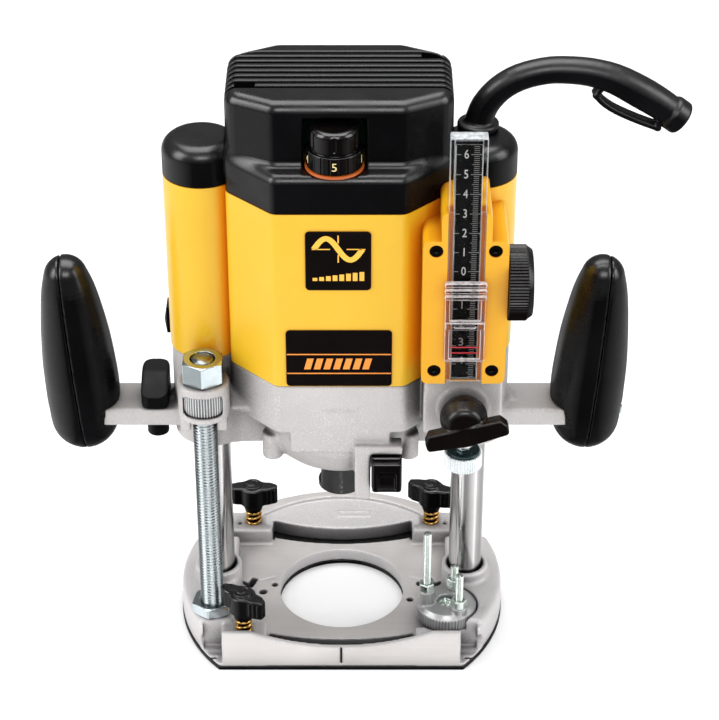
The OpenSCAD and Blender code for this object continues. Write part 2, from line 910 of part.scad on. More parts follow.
// Gear outline with thinned teeth, its first gap on the +X axis
module pinion_outline(teeth, m, thin) {
    pitch_r = teeth * m / 2;
    base_radius = pitch_r * cos(20);
    tip_r = pitch_r + 0.75 * m;
    root_r = pitch_r - 1.05 * m;
    roll = roll_at(base_radius, pitch_r);
    skew = roll - 20;
    half = 90 / teeth - thin / pitch_r * 90 / PI;
    union() {
        circle(r = root_r, $fn = 48);
        for (i = [0 : teeth - 1]) rotate((i + 0.5) * 360 / teeth)
            polygon(concat(
                [turned([root_r - 0.3, 0], -half)],
                [for (s = [0 : 4]) turned(involute(base_radius, s / 4 * roll_at(base_radius, tip_r)),
                                          -half - skew)],
                [for (s = [4 : -1 : 0]) let (p = involute(base_radius, s / 4 * roll_at(base_radius, tip_r)))
                    turned([p[0], -p[1]], half + skew)],
                [turned([root_r - 0.3, 0], half)]));
    }
}

// Depth rod with a toothed rack along its front
module depth_rod() {
    rack_pitch = PI * tooth_m;
    pitch_line = pinion_y + pinion_r;
    tip = -0.6 * tooth_m;
    root = 1.15 * tooth_m;
    half = rack_pitch / 4 + 0.02;
    color("#c4cdd0") difference() {
        at(rod_x, rod_y) rotate_extrude()
            polygon([[0, 125], [4, 125], [5, 126], [5, 290], [4, 291], [0, 291]]);
        box([rod_x - 6, rod_y - 6, knob_z - 24], [rod_x + 6, pitch_line + tip, 292]);
        translate([rod_x - 6, 0, 0]) rotate([90, 0, 90]) linear_extrude(12)
            for (i = [-9 : 27]) translate([pitch_line, knob_z + i * rack_pitch])
                polygon([[tip - 0.1, -half + (tip - 0.1) * tan(20)], [root, -half + root * tan(20)],
                         [root, half - root * tan(20)], [tip - 0.1, half - (tip - 0.1) * tan(20)]]);
    }
}

// Knurled knob and its pinion shaft
module depth_knob() {
    color("#1a1614") translate([0, pinion_y, knob_z]) rotate([0, 90, 0]) {
        translate([0, 0, 77.6]) rotate_extrude()
            polygon([[0, 0], [17.4, 0], [17.4, 9], [15.6, 11.6], [0, 11.6]]);
        translate([0, 0, 77.6]) ribs(17.5, 90, 0.8, 8.6);
        translate([0, 0, rod_x - 4.5]) cylinder(r = 3, h = 24);
        translate([0, 0, rod_x - 4.5]) rotate(pinion_turn()) linear_extrude(9)
            pinion_outline(pinion_teeth, tooth_m, 0.16);
    }
}

// The rack has a gap at the knob's height, so the pinion shows it a tooth
function pinion_turn() = 90 + 180 / pinion_teeth;

module depth_foot() {
    color("#d6dde0") at(rod_x, rod_y) difference() {
        union() {
            cylinder_between(foot_r - 0.5, 113.3, 121.6);
            translate([0, 0, 113.8]) ribs(foot_r - 0.4, 44, 0.7, 7.4);
            cylinder_between(7.8, 121.5, 123);
        }
        cylinder_between(2.6, 112, 130);
    }
    color("#8c979b") at(rod_x, rod_y) {
        cylinder_between(2.6, 114.5, 124.8);
    }
}

module rod_lock_knob() {
    color("#1a1414") translate([58.6, 0, lock_z]) {
        rotate([90, 0, 0]) translate([0, 0, 41.1]) cylinder(r = 3, h = 15);
        rotate([90, 0, 0]) translate([0, 0, 53.4]) rotate_extrude() polygon(concat(
            [[0, 0], [9, 0]],
            [for (a = [-40 : 20 : 80]) [11.3 * cos(a), 6.6 + 8.8 * sin(a)]],
            [[0, 15.4]]));
        rotate([0, -15, 0]) hull() {
            for (x = [-18, 18]) translate([x, -66.5, -1]) rotate([90, 0, 0])
                cylinder(r = 1.5, h = 5, center = true, $fn = 24);
            for (x = [-17, 17]) translate([x, -66.5, -8]) rotate([90, 0, 0])
                cylinder(r = 1.5, h = 5, center = true, $fn = 24);
            translate([0, -66, -4]) rotate([90, 0, 0]) cylinder(r = 8, h = 5, center = true, $fn = 32);
        }
    }
}

module lock_knob_spring() {
    color("silver") translate([58.6, block_front - 0.7, lock_z]) rotate([90, 0, 0])
        coil(5, 0.5, 2.6, 2, 12);
}

// ---------- labels and dial ----------

module front_labels() {
    color("#111112") {
        label_plate(-0.4, 180, 25, 15.5);
        label_plate(-0.5, 233, 15.2, 15.5);
    }
}

module label_plate(x, z, half_w, half_h) {
    translate([x, -housing_y, z]) rotate([90, 0, 0]) linear_extrude(0.5)
        hull() for (sx = [-1, 1], sz = [-1, 1])
            translate([sx * (half_w - 2), sz * (half_h - 2)]) circle(r = 2, $fn = 32);
}

module dial_ring() {
    color("#ef7a1a") at(-2, -33) translate([0, 0, housing_top + 19.6]) tube(13.6, 4.3, 1.3);
}

module speed_dial() {
    color("#161618") at(-2, -33) {
        cylinder_between(4, 270, 280);
        translate([0, 0, 278]) cylinder(r = 13, h = 8.6, $fn = 32);
        rotate_extrude() polygon(concat(
            [[0, 286.5], [11.5, 286.5], [11.5, 295]],
            [for (a = [15 : 15 : 90]) [8.7 + 2.8 * cos(a), 295 + 2.8 * sin(a)]],
            [[0, 297.8]]));
        translate([0, 0, 288]) ribs(11.5, 6, 1, 6);
    }
}

// ---------- motor ----------

module stator_core() {
    color("#5d6066") cylinder_ring(38.5, 26, 176, 222);
}

module cylinder_ring(outer, inner, low, high) {
    translate([0, 0, low]) tube(outer, inner, high - low);
}

module field_coils() {
    color("#b5652b") {
        cylinder_ring(36, 27, 166.5, 175.9);
        cylinder_ring(36, 27, 222.1, 230);
    }
}

module armature() {
    color("#70747a") difference() {
        cylinder_between(24.5, 174, 224);
        cylinder_between(5.1, 170, 230);
        for (i = [0 : 11]) rotate(i * 30) translate([22.5, -1, 170]) cube([4, 2, 60]);
    }
    color("#b5652b") {
        cylinder_ring(21, 5.1, 166, 173.99);
        cylinder_ring(21, 5.1, 224.01, 231);
    }
}

module commutator() {
    color("#c4793c") difference() {
        cylinder_ring(12.5, 5.1, 231.2, 244);
        for (i = [0 : 23]) rotate(i * 15) translate([11.5, -0.3, 230]) cube([3, 0.6, 18]);
    }
}

module cooling_fan() {
    color("#26262a") {
        cylinder_ring(12, 5.1, 140, 156);
        difference() {
            cylinder_ring(36, 11.9, 140, 142);
        }
        for (i = [0 : 10]) rotate(i * 360 / 11) box([11.8, -0.9, 141.5], [35, 0.9, 155]);
    }
}

module brush_holders() {
    color("#b8965a") for (turn = [0, 180]) rotate(turn) difference() {
        box([17, -5, 232.6], [33, 5, 242.6]);
        box([10, -3.6, 234], [40, 3.6, 241.2]);
    }
}

module carbon_brushes() {
    color("#2d2d2f") for (turn = [0, 180]) rotate(turn)
        box([12.7, -3.5, 234.1], [29, 3.5, 241.1]);
}

module bearings() {
    color("silver") {
        bearing(13, 5, 248.1, 256);
        bearing(17.5, 7.5, 100.1, 111.1);
    }
}

// Outer and inner race with balls between them
module bearing(outer, inner, low, high) {
    mid = (outer + inner) / 2;
    ball = (outer - inner) * 0.28;
    cylinder_ring(outer, mid + ball * 0.5, low, high);
    cylinder_ring(mid - ball * 0.5, inner + fit, low, high);
    for (i = [0 : 7]) rotate(i * 45) translate([mid, 0, (low + high) / 2]) sphere(r = ball, $fn = 32);
}

module electronics_module() {
    color("#274a3a") difference() {
        box([-30, 2, 270], [30, 24, 284]);
        both_sides_screws() cylinder_between(5, 260, 300);
    }
}

module column_bushes() {
    color("#b08d57") both_sides(column_x) {
        cylinder_ring(bush_r, column_r + fit, 113, 127);
        cylinder_ring(bush_r, column_r + fit, 146, 162);
    }
}

module spindle_shaft() {
    color("#b9bcc0") difference() {
        rotate_extrude() polygon([
            [0, 84], [9.4, 84], [9.4, 97.5], [10.5, 97.5], [10.5, 100.1], [7.5, 100.1], [7.5, 122],
            [5, 126], [5, 255], [4, 256], [0, 256]]);
        cylinder_between(8.05, 80, 98.5);
        cylinder_between(6.1, 80, 113);
    }
}

module collet() {
    color("#9a9da1") difference() {
        cylinder_between(8, 81, 98.4);
        cylinder_between(6, 70, 110);
        for (a = [0, 60, 120]) rotate(a) box([-10, -0.4, 80], [10, 0.4, 94]);
    }
}

module collet_nut() {
    color("#1d1e21") difference() {
        cylinder_between(11.6, 77.7, 96.5);
        cylinder_between(9.45, 83, 100);
        cylinder_between(6.6, 70, 100);
        cylinder_between(8.1, 80.5, 100);
        for (a = [0, 180]) rotate(a) box([10.2, -12, 80], [14, 12, 91]);
    }
}

// ---------- controls ----------

module plunge_lock_lever() {
    color("#161618") at(-92, 0) {
        cylinder_between(4, 110, 131);
        cylinder_between(5.4, 109, 120);
        hull() for (y = [-6.5, 5.5]) translate([0, y, 0]) {
            cylinder_between(6, 130.3, 140);
            translate([0, 0, 140]) cylinder(r = 3.6, h = 5, $fn = 32);
        }
    }
}

module power_switch() {
    color("#141416") {
        hull() {
            box([-85.4, 3.2, 165.2], [-84, 12.8, 179.6]);
            box([-86.4, 4.5, 171.4], [-86, 11.5, 173.4]);
        }
        box([-84.1, 3.2, 165.2], [-77, 12.8, 179.6]);
        translate([-81, 13.9, 172.4]) rotate([90, 0, 0]) cylinder(r = 2, h = 11.8);
    }
}

module spindle_lock_button() {
    color("#121214") {
        box([15.1, -47.5, 106.8], [29.9, -36, 125.2]);
        hull() {
            box([15.4, -51.5, 107.6], [29.6, -47, 124.4]);
            box([16.4, -52.4, 108.8], [28.6, -51.4, 123.2]);
        }
    }
}

module fine_adjust_ring() {
    color("#cfd3d4") at(screw_x, screw_y) difference() {
        translate([0, 0, 144.3]) ribbed_disc(11, 54, 0.6, 11.6);
        cylinder_between(screw_r + 0.15, 140, 160);
    }
}

// ---------- cable ----------

// Places along the boot, then its radius there; it swells again where the clip hangs
boot_path = [[64.8, 276, 6.6], [67.7, 288, 6.4], [74.4, 296.6, 6.3], [83.5, 302.4, 6.3], [94.8, 305.7, 6.3],
             [104, 306.3, 6.4], [115.6, 305, 6.6], [127.4, 301.5, 7], [139.4, 295, 7.6], [149, 289, 7.4],
             [156.5, 283.5, 7.1]];

module boot_link(i) {
    translate([boot_path[i][0], 6, boot_path[i][1]]) sphere(r = boot_path[i][2], $fn = 18);
}

module cable_boot() {
    color("#161618") {
        difference() {
            for (i = [0 : 9]) hull() {
                boot_link(i);
                boot_link(i + 1);
            }
            translate([0, -50, 200]) cube([100, 100, 76.05]);
        }
        translate([64.8, 6, 276.05]) cylinder(r = 10, h = 3.4);
        translate([156.5, 6, 283.5]) rotate([0, 126, 0]) cylinder(r = 8.4, h = 6);
    }
}

module mains_cable() {
    color("#101012") at(65, cable_y) cylinder_between(cable_r, 262, 275.9);
}

module cable_clip() {
    bar = [[119.2, 293.4], [128.4, 286.2], [138.9, 281.2], [148.6, 277.4]];
    color("#101012") for (i = [0 : 2]) hull() for (p = [bar[i], bar[i + 1]])
        translate([p[0], 6, p[1]]) rotate([90, 0, 0]) cylinder(r = 1.5, h = 7, center = true, $fn = 20);
}

base_casting();
sole_plate();
sole_screws();
guide_columns();
column_springs();
height_screw();
height_screw_nut();
clamp_springs();
turret_screw();
clamp_knob_front_left();
clamp_knob_rear_left();
clamp_knob_rear_right();
return_stop_nut();
turret_disc();
turret_lock_nuts();
stop_bolt_low();
stop_bolt_middle();
stop_bolt_high();
carriage_casting();
motor_housing();
top_cover();
tower_caps();
handle_outer_shells();
handle_inner_shells();
assembly_screws();
scale_bracket();
bracket_screws();
scale_strip();
scale_cover();
dial_ring();
front_labels();
stator_core();
field_coils();
brush_holders();
carbon_brushes();
bearings();
electronics_module();
column_bushes();
cable_boot();
mains_cable();
cable_clip();
lock_knob_spring();
spindle_shaft();
armature();
commutator();
cooling_fan();
collet();
collet_nut();
plunge_lock_lever();
power_switch();
speed_dial();
depth_rod();
depth_knob();
depth_foot();
scale_cursor();
rod_lock_knob();
spindle_lock_button();
fine_adjust_ring();
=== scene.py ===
import math
import bpy
import numpy as np
from mathutils import Matrix, Vector


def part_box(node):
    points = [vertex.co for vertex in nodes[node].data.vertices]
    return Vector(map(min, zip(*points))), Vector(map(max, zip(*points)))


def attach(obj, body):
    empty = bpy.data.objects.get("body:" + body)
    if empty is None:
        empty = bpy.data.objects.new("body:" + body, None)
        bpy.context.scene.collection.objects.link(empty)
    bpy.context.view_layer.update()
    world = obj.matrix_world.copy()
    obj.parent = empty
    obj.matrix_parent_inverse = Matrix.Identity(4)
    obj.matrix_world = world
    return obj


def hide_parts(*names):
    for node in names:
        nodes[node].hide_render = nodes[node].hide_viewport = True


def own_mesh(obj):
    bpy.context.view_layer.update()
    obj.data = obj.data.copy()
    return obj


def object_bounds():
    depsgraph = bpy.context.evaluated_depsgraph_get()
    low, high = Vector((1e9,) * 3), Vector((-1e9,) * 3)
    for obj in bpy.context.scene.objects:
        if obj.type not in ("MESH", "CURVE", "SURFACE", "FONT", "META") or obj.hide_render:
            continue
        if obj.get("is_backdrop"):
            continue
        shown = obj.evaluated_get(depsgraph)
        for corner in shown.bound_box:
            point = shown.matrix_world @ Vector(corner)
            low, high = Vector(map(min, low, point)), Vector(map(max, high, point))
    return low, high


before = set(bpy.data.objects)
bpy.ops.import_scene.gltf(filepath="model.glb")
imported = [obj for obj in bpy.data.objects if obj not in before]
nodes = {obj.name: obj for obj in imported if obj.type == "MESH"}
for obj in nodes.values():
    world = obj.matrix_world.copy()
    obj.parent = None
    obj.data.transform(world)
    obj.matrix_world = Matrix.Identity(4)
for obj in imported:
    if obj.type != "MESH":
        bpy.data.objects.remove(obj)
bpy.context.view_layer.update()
MM = 0.001

# Places on the router, in millimetres: x and y, unless said otherwise.
COLUMN_X, CAP_X = 64.4, 65.0
BASE_R = 83.4
WALL_FRONT, WALL_BACK, WALL_TOP = -56.3, -53.1, 23.3
CLAMPS = {"front_left": (-49.5, -46.5), "rear_left": (-48.0, 46.5), "rear_right": (48.0, 46.5)}
SCREW = (-66, -31)
TURRET = (54, -27.5)
BOLT_RING = 10.3
BOLTS = {"middle": (-54.5, 25, 21, 44.5), "low": (65.5, 25, 20, 37),
         "high": (185.5, 30, 24, 65.5)}  # direction in degrees, top of the boss, the bolt's two ends
ROD = (60, -36)
ROD_LOCK = (58.6, 156)  # x and z
KNOB = (-44.75, 222.3)  # y and z
LEVER = (-92, 0)
DIAL = (-2, -33)
HANDLE_Z = 125.25
LONG_SCREWS = [(x, y) for x in (-41, 41) for y in (-25.5, 25.5)]
SCALE_ZERO = 233.2  # z


# ---------- distance fields, in millimetres ----------

AXES = {"x": (1, 2, 0), "y": (0, 2, 1), "z": (0, 1, 2)}


def limits(axis, us, vs, along):
    """Lowest and highest corner, from the ranges across an axis and along it."""
    ends = dict(zip(AXES[axis], (us, vs, along)))
    return tuple(ends[i][0] for i in range(3)), tuple(ends[i][1] for i in range(3))


def both(shape):
    """The shape and its mirror image across x = 0."""
    f, lo, hi = shape
    reach = max(abs(lo[0]), abs(hi[0]))
    return (lambda x, y, z: f(abs(x), y, z)), (-reach, lo[1], lo[2]), (reach, hi[1], hi[2])


def turned(shape, axis, degrees, centre):
    """The shape turned about an axis ("x", "y" or "z") through centre."""
    f, lo, hi = shape
    a = math.radians(degrees)
    c, s = math.cos(a), math.sin(a)
    i, j = {"x": (1, 2), "y": (2, 0), "z": (0, 1)}[axis]

    def spin(place, s):
        p = list(place)
        u, v = p[i] - centre[i], p[j] - centre[j]
        p[i], p[j] = c * u + s * v + centre[i], c * v - s * u + centre[j]
        return p
    corners = [spin([(lo, hi)[k >> n & 1][n] for n in range(3)], -s) for k in range(8)]
    return (lambda x, y, z: f(*spin((x, y, z), s))), tuple(np.min(corners, 0)), tuple(np.max(corners, 0))


def slab(d, w, half, r):
    """Joins an outline's distance and a height within a slab, with its rims rounded by r."""
    w = abs(w) - half + r
    d = d + r
    return np.minimum(np.maximum(d, w), 0) + np.sqrt(np.maximum(d, 0) ** 2 + np.maximum(w, 0) ** 2) - r


def box(x0, x1, y0, y1, z0, z1, r=0.0):
    c = [(x0 + x1) / 2, (y0 + y1) / 2, (z0 + z1) / 2]
    h = [(x1 - x0) / 2 - r, (y1 - y0) / 2 - r, (z1 - z0) / 2 - r]

    def f(x, y, z):
        q = [abs(p - m) - s for p, m, s in zip((x, y, z), c, h)]
        out = np.sqrt(sum(np.maximum(v, 0) ** 2 for v in q))
        return out + np.minimum(np.maximum(np.maximum(q[0], q[1]), q[2]), 0) - r
    return f, (x0, y0, z0), (x1, y1, z1)


def cyl(axis, u, v, radius, low, high, r=0.0):
    """Cylinder along an axis, at u, v in the other two coordinates, in x, y, z order."""
    i, j, k = AXES[axis]

    def f(x, y, z):
        p = (x, y, z)
        d = np.sqrt((p[i] - u) ** 2 + (p[j] - v) ** 2) - radius
        return slab(d, p[k] - (low + high) / 2, (high - low) / 2, r)
    return f, *limits(axis, (u - radius, u + radius), (v - radius, v + radius), (low, high))


def columns(radius, low, high, r=0.0, x=COLUMN_X):
    """Upright cylinders round both guide columns."""
    return both(cyl("z", x, 0, radius, low, high, r))


def rounded(points, r=0, steps=4):
    """Outline whose corners are rounded by r, or by a third number given with the point."""
    pts = [np.array(p[:2], float) for p in points]
    out = []
    for n, p in enumerate(pts):
        radius = points[n][2] if len(points[n]) > 2 else r
        if radius <= 0:
            out.append(tuple(p))
            continue
        d1, d2 = pts[n - 1] - p, pts[(n + 1) % len(pts)] - p
        d1, d2 = d1 / np.linalg.norm(d1), d2 / np.linalg.norm(d2)
        mid = (d1 + d2) / np.linalg.norm(d1 + d2)
        half = math.acos(max(-1, min(1, float(d1 @ d2)))) / 2
        c = p + mid * radius / math.sin(half)
        a, b = (p + d1 * radius / math.tan(half)) - c, (p + d2 * radius / math.tan(half)) - c
        t0, t1 = math.atan2(a[1], a[0]), math.atan2(b[1], b[0])
        t1 = t0 + (t1 - t0 + math.pi) % (2 * math.pi) - math.pi
        out += [tuple(c + radius * np.array([math.cos(t), math.sin(t)]))
                for t in np.linspace(t0, t1, steps + 1)]
    return out


def polygon_distance(points):
    """Signed distance to an outline, as a function of its two coordinates."""
    pts = np.array(points, float)

    def f(u, v):
        d2, inside = 1e9, False
        for a, b in zip(pts, np.roll(pts, -1, 0)):
            e = b - a
            t = np.clip(((u - a[0]) * e[0] + (v - a[1]) * e[1]) / (e @ e), 0, 1)
            d2 = np.minimum(d2, (u - a[0] - e[0] * t) ** 2 + (v - a[1] - e[1] * t) ** 2)
            if a[1] != b[1]:
                inside = inside ^ (((a[1] > v) != (b[1] > v)) & (u < e[0] * (v - a[1]) / e[1] + a[0]))
        return np.where(inside, -1, 1) * np.sqrt(d2)
    return f


def prism(axis, points, low, high, r=0.0):
    """Outline extruded along an axis; its points are in the other two coordinates, in x, y, z order."""
    i, j, k = AXES[axis]
    points = rounded(points)
    g = polygon_distance(points)
    us, vs = zip(*points)

    def f(x, y, z):
        p = (x, y, z)
        return slab(g(p[i], p[j]), p[k] - (low + high) / 2, (high - low) / 2, r)
    return f, *limits(axis, (min(us), max(us)), (min(vs), max(vs)), (low, high))


def revolve(axis, u, v, profile):
    """Solid of revolution; the profile's points are (radius, place along the axis)."""
    i, j, k = AXES[axis]
    profile = rounded(profile)
    g = polygon_distance(profile + [(-a, b) for a, b in profile[::-1] if a > 0])
    radii, places = zip(*profile)
    reach = max(radii)

    def f(x, y, z):
        p = (x, y, z)
        return g(np.sqrt((p[i] - u) ** 2 + (p[j] - v) ** 2), p[k] + 0 * p[i])
    return f, *limits(axis, (u - reach, u + reach), (v - reach, v + reach), (min(places), max(places)))


def rope(points, radii):
    """Round-ended tube along points, its radius given once or at each."""
    pts = np.array(points, float)
    radii = np.broadcast_to(radii, len(pts))

    def f(x, y, z):
        d = 1e9
        for a, b, ra, rb in zip(pts[:-1], pts[1:], radii[:-1], radii[1:]):
            e = b - a
            t = np.clip(((x - a[0]) * e[0] + (y - a[1]) * e[1] + (z - a[2]) * e[2]) / (e @ e), 0, 1)
            q = np.sqrt((x - a[0] - e[0] * t) ** 2 + (y - a[1] - e[1] * t) ** 2 + (z - a[2] - e[2] * t) ** 2)
            d = np.minimum(d, q - ra - (rb - ra) * t)
        return d
    return f, tuple(pts.min(0) - max(radii)), tuple(pts.max(0) + max(radii))


def meet(one, two):
    """What two shapes share."""
    return ((lambda x, y, z: np.maximum(one[0](x, y, z), two[0](x, y, z))),
            tuple(np.maximum(one[1], two[1])), tuple(np.minimum(one[2], two[2])))


def less(shape, other):
    """The shape without the other."""
    return (lambda x, y, z: np.maximum(shape[0](x, y, z), -other[0](x, y, z))), shape[1], shape[2]


def smooth_min(a, b, k):
    if k <= 0:
        return np.minimum(a, b)
    h = np.maximum(k - abs(a - b), 0) / k
    return np.minimum(a, b) - h * h * k / 4


class Field:
    """A block of space holding the distance to a solid that's built by adding and cutting shapes."""

    def __init__(self, lo, hi, step):
        self.lo, self.hi, self.step = np.array(lo, float), np.array(hi, float), step
        counts = np.ceil((self.hi - self.lo) / step).astype(int) + 1
        self.axes = [self.lo[i] + step * np.arange(counts[i]) for i in range(3)]
        self.d = np.full(counts, 12.0, np.float32)

    def _blend(self, shape, k, sign):
        f, lo, hi = shape
        pad = k + 4 * self.step
        part = []
        for i in range(3):
            a = int(np.clip((lo[i] - pad - self.lo[i]) / self.step, 0, self.d.shape[i]))
            b = int(np.clip((hi[i] + pad - self.lo[i]) / self.step + 2, 0, self.d.shape[i]))
            part.append(slice(a, max(a, b)))
        part = tuple(part)
        if 0 in self.d[part].shape:
            return
        d = f(self.axes[0][part[0]][:, None, None], self.axes[1][part[1]][None, :, None],
              self.axes[2][part[2]][None, None, :])
        d = np.broadcast_to(d, self.d[part].shape).astype(np.float32)
        self.d[part] = sign * smooth_min(sign * self.d[part], d, k)

    def add(self, shape, k=0.0):
        self._blend(shape, k, 1)

    def cut(self, shape, k=0.0):
        self._blend(shape, k, -1)

    def keep(self, inside, k=0.0):
        """Keeps the side of the block where the function is below zero."""
        self.cut((lambda x, y, z: -inside(x, y, z), self.lo, self.hi), k)

    def surface(self):
        """Vertices, quads and vertex normals of the zero surface."""
        d = self.d
        for ax in range(3):
            rims = np.moveaxis(d, ax, 0)
            rims[[0, -1]] = np.maximum(rims[[0, -1]], 0.01)
        neg = d < 0
        count = np.zeros([n - 1 for n in d.shape], np.uint8)
        offsets = [(i, j, k) for i in (0, 1) for j in (0, 1) for k in (0, 1)]
        for o in offsets:
            count += neg[tuple(slice(a, a + m) for a, m in zip(o, count.shape))]
        cells = np.argwhere((count > 0) & (count < 8))
        index = np.full(count.shape, -1, np.int64)
        index[tuple(cells.T)] = np.arange(len(cells))
        total, hits = np.zeros((len(cells), 3)), np.zeros(len(cells))
        corner = {o: d[tuple((cells + o).T)] for o in offsets}
        for a in offsets:
            for ax in range(3):
                if a[ax]:
                    continue
                da, db = corner[a], corner[tuple(a[i] + (i == ax) for i in range(3))]
                cross = (da < 0) != (db < 0)
                t = np.where(cross, da / np.where(cross, da - db, 1), 0)
                for i in range(3):
                    total[:, i] += cross * (a[i] + (t if i == ax else 0))
                hits += cross
        local = total / hits[:, None]
        unit = np.eye(3, dtype=int)
        grad = np.zeros((len(cells), 3))
        for o in offsets:
            w = np.prod([np.where(o[i], local[:, i], 1 - local[:, i]) for i in range(3)], 0)
            at = np.clip(cells + o, 1, np.array(d.shape) - 2)
            for i in range(3):
                grad[:, i] += w * (d[tuple((at + unit[i]).T)] - d[tuple((at - unit[i]).T)])
        grad /= np.maximum(np.linalg.norm(grad, axis=1), 1e-9)[:, None]
        quads = []
        for ax in range(3):
            lo = [slice(0, -1) if i == ax else slice(1, -1) for i in range(3)]
            hi = [slice(1, None) if i == ax else slice(1, -1) for i in range(3)]
            at = np.argwhere(neg[tuple(lo)] != neg[tuple(hi)]) + [0 if i == ax else 1 for i in range(3)]
            first = neg[tuple(at.T)]
            ei, ej = unit[[n for n in range(3) if n != ax]]
            q = np.stack([index[tuple((at - a).T)] for a in (ei + ej, ej, 0 * ei, ei)], 1)
            flip = first if ax != 1 else ~first
            quads.append(np.where(flip[:, None], q, q[:, ::-1]))
        return self.lo + self.step * (cells + local), np.concatenate(quads), grad


def in_scene(name, data):
    """New object in the scene."""
    obj = bpy.data.objects.new(name, data)
    bpy.context.scene.collection.objects.link(obj)
    return obj


def mesh_object(name, verts, quads, normals):
    """Object from a field's surface, in mm."""
    mesh = bpy.data.meshes.new(name)
    mesh.vertices.add(len(verts))
    mesh.vertices.foreach_set("co", (verts * MM).astype(np.float32).ravel())
    mesh.loops.add(quads.size)
    mesh.loops.foreach_set("vertex_index", quads.ravel().astype(np.int32))
    mesh.polygons.add(len(quads))
    mesh.polygons.foreach_set("loop_start", (np.arange(len(quads)) * 4).astype(np.int32))
    mesh.update(calc_edges=True)
    mesh.validate()
    mesh.polygons.foreach_set("use_smooth", np.ones(len(mesh.polygons), bool))
    mesh.normals_split_custom_set_from_vertices(normals.tolist())
    return in_scene(name, mesh)


def settle(obj, body, material, slot, *replaces):
    """Puts a piece on its body, with its material, in place of the CAD nodes it replaces."""
    obj.data.materials.append(material)
    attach(obj, body)
    if replaces:
        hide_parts(*replaces)
    return obj


def sculpted(name, fields, body, material, slot, *replaces):
    """One piece from the surfaces of one field or more."""
    parts = [f.surface() for f in (fields if isinstance(fields, list) else [fields])]
    starts = np.cumsum([0] + [len(p[0]) for p in parts])
    quads = np.concatenate([p[1] + s for p, s in zip(parts, starts)])
    verts, normals = (np.concatenate([p[i] for p in parts]) for i in (0, 2))
    obj = mesh_object(name, verts, quads, normals)
    return settle(obj, body, material, slot, *replaces)


# ---------- materials ----------

class Graph:
    """Small helper round one material's nodes."""

    def __init__(self, name):
        self.mat = bpy.data.materials.new(name)
        self.mat.use_nodes = True
        self.tree = self.mat.node_tree
        self.shader = self.tree.nodes["Principled BSDF"]
        self.place = self.tree.nodes.new("ShaderNodeTexCoord").outputs["Object"]

    def feed(self, socket, source):
        """Gives a socket a link or a value; a colour may be one grey number."""
        if hasattr(source, "node"):
            self.tree.links.new(source, socket)
        elif socket.type == "RGBA":
            socket.default_value = (*(source if isinstance(source, tuple) else [source] * 3), 1)
        else:
            socket.default_value = source

    def set(self, socket, source):
        self.feed(self.shader.inputs[socket], source)

    def node(self, kind, values=(), *sources):
        """New node, with named inputs or settings and then its first inputs in order."""
        n = self.tree.nodes.new("ShaderNode" + kind)
        for key, value in dict(values).items():
            if key in n.inputs.keys():
                self.feed(n.inputs[key], value)
            else:
                setattr(n, key, value)
        for socket, source in zip(n.inputs, sources):
            self.feed(socket, source)
        return n

    def math(self, operation, *sources):
        return self.node("Math", {"operation": operation}, *sources).outputs[0]

    def split(self, vector):
        return self.node("SeparateXYZ", (), vector).outputs

    def normal(self):
        return self.split(self.node("NewGeometry").outputs["Normal"])

    def open_air(self, distance):
        """How little other surfaces crowd round a point, within the distance."""
        return self.node("AmbientOcclusion", {"Distance": distance, "samples": 6}).outputs["AO"]

    def noise(self, scale, detail=3.0, stretch=None):
        place = self.place
        if stretch:
            place = self.node("Mapping", {"Scale": stretch}, place).outputs[0]
        return self.node("TexNoise", {"Scale": scale, "Detail": detail}, place).outputs["Fac"]

    def spread(self, fac, low, high, a=0.35, b=0.65):
        ends = {"From Min": a, "From Max": b, "To Min": low, "To Max": high}
        return self.node("MapRange", ends, fac).outputs["Result"]

    def mix(self, fac, one, two, kind="RGBA", blend="MIX"):
        """Mixes two colours, or two numbers with kind FLOAT."""
        n = self.node("Mix", {"data_type": kind, "blend_type": blend}, fac)
        first = 6 if kind == "RGBA" else 2
        self.feed(n.inputs[first], one)
        self.feed(n.inputs[first + 1], two)
        return n.outputs[2 if kind == "RGBA" else 0]

    def times(self, one, two):
        return self.mix(1.0, one, two, blend="MULTIPLY")

    def ramp(self, fac, tones):
        """Grey tones at given places from 0 to 1."""
        n = self.node("ValToRGB", (), fac)
        stops = n.color_ramp.elements
        while len(stops) < len(tones):
            stops.new(0.5)
        for stop, (place, tone) in zip(stops, tones):
            stop.position, stop.color = place, (tone, tone, tone, 1)
        return n.outputs["Color"]

    def bump(self, height, strength, distance):
        values = {"Strength": strength, "Distance": distance, "Height": height}
        return self.node("Bump", values).outputs["Normal"]


MICRON = 1e-6


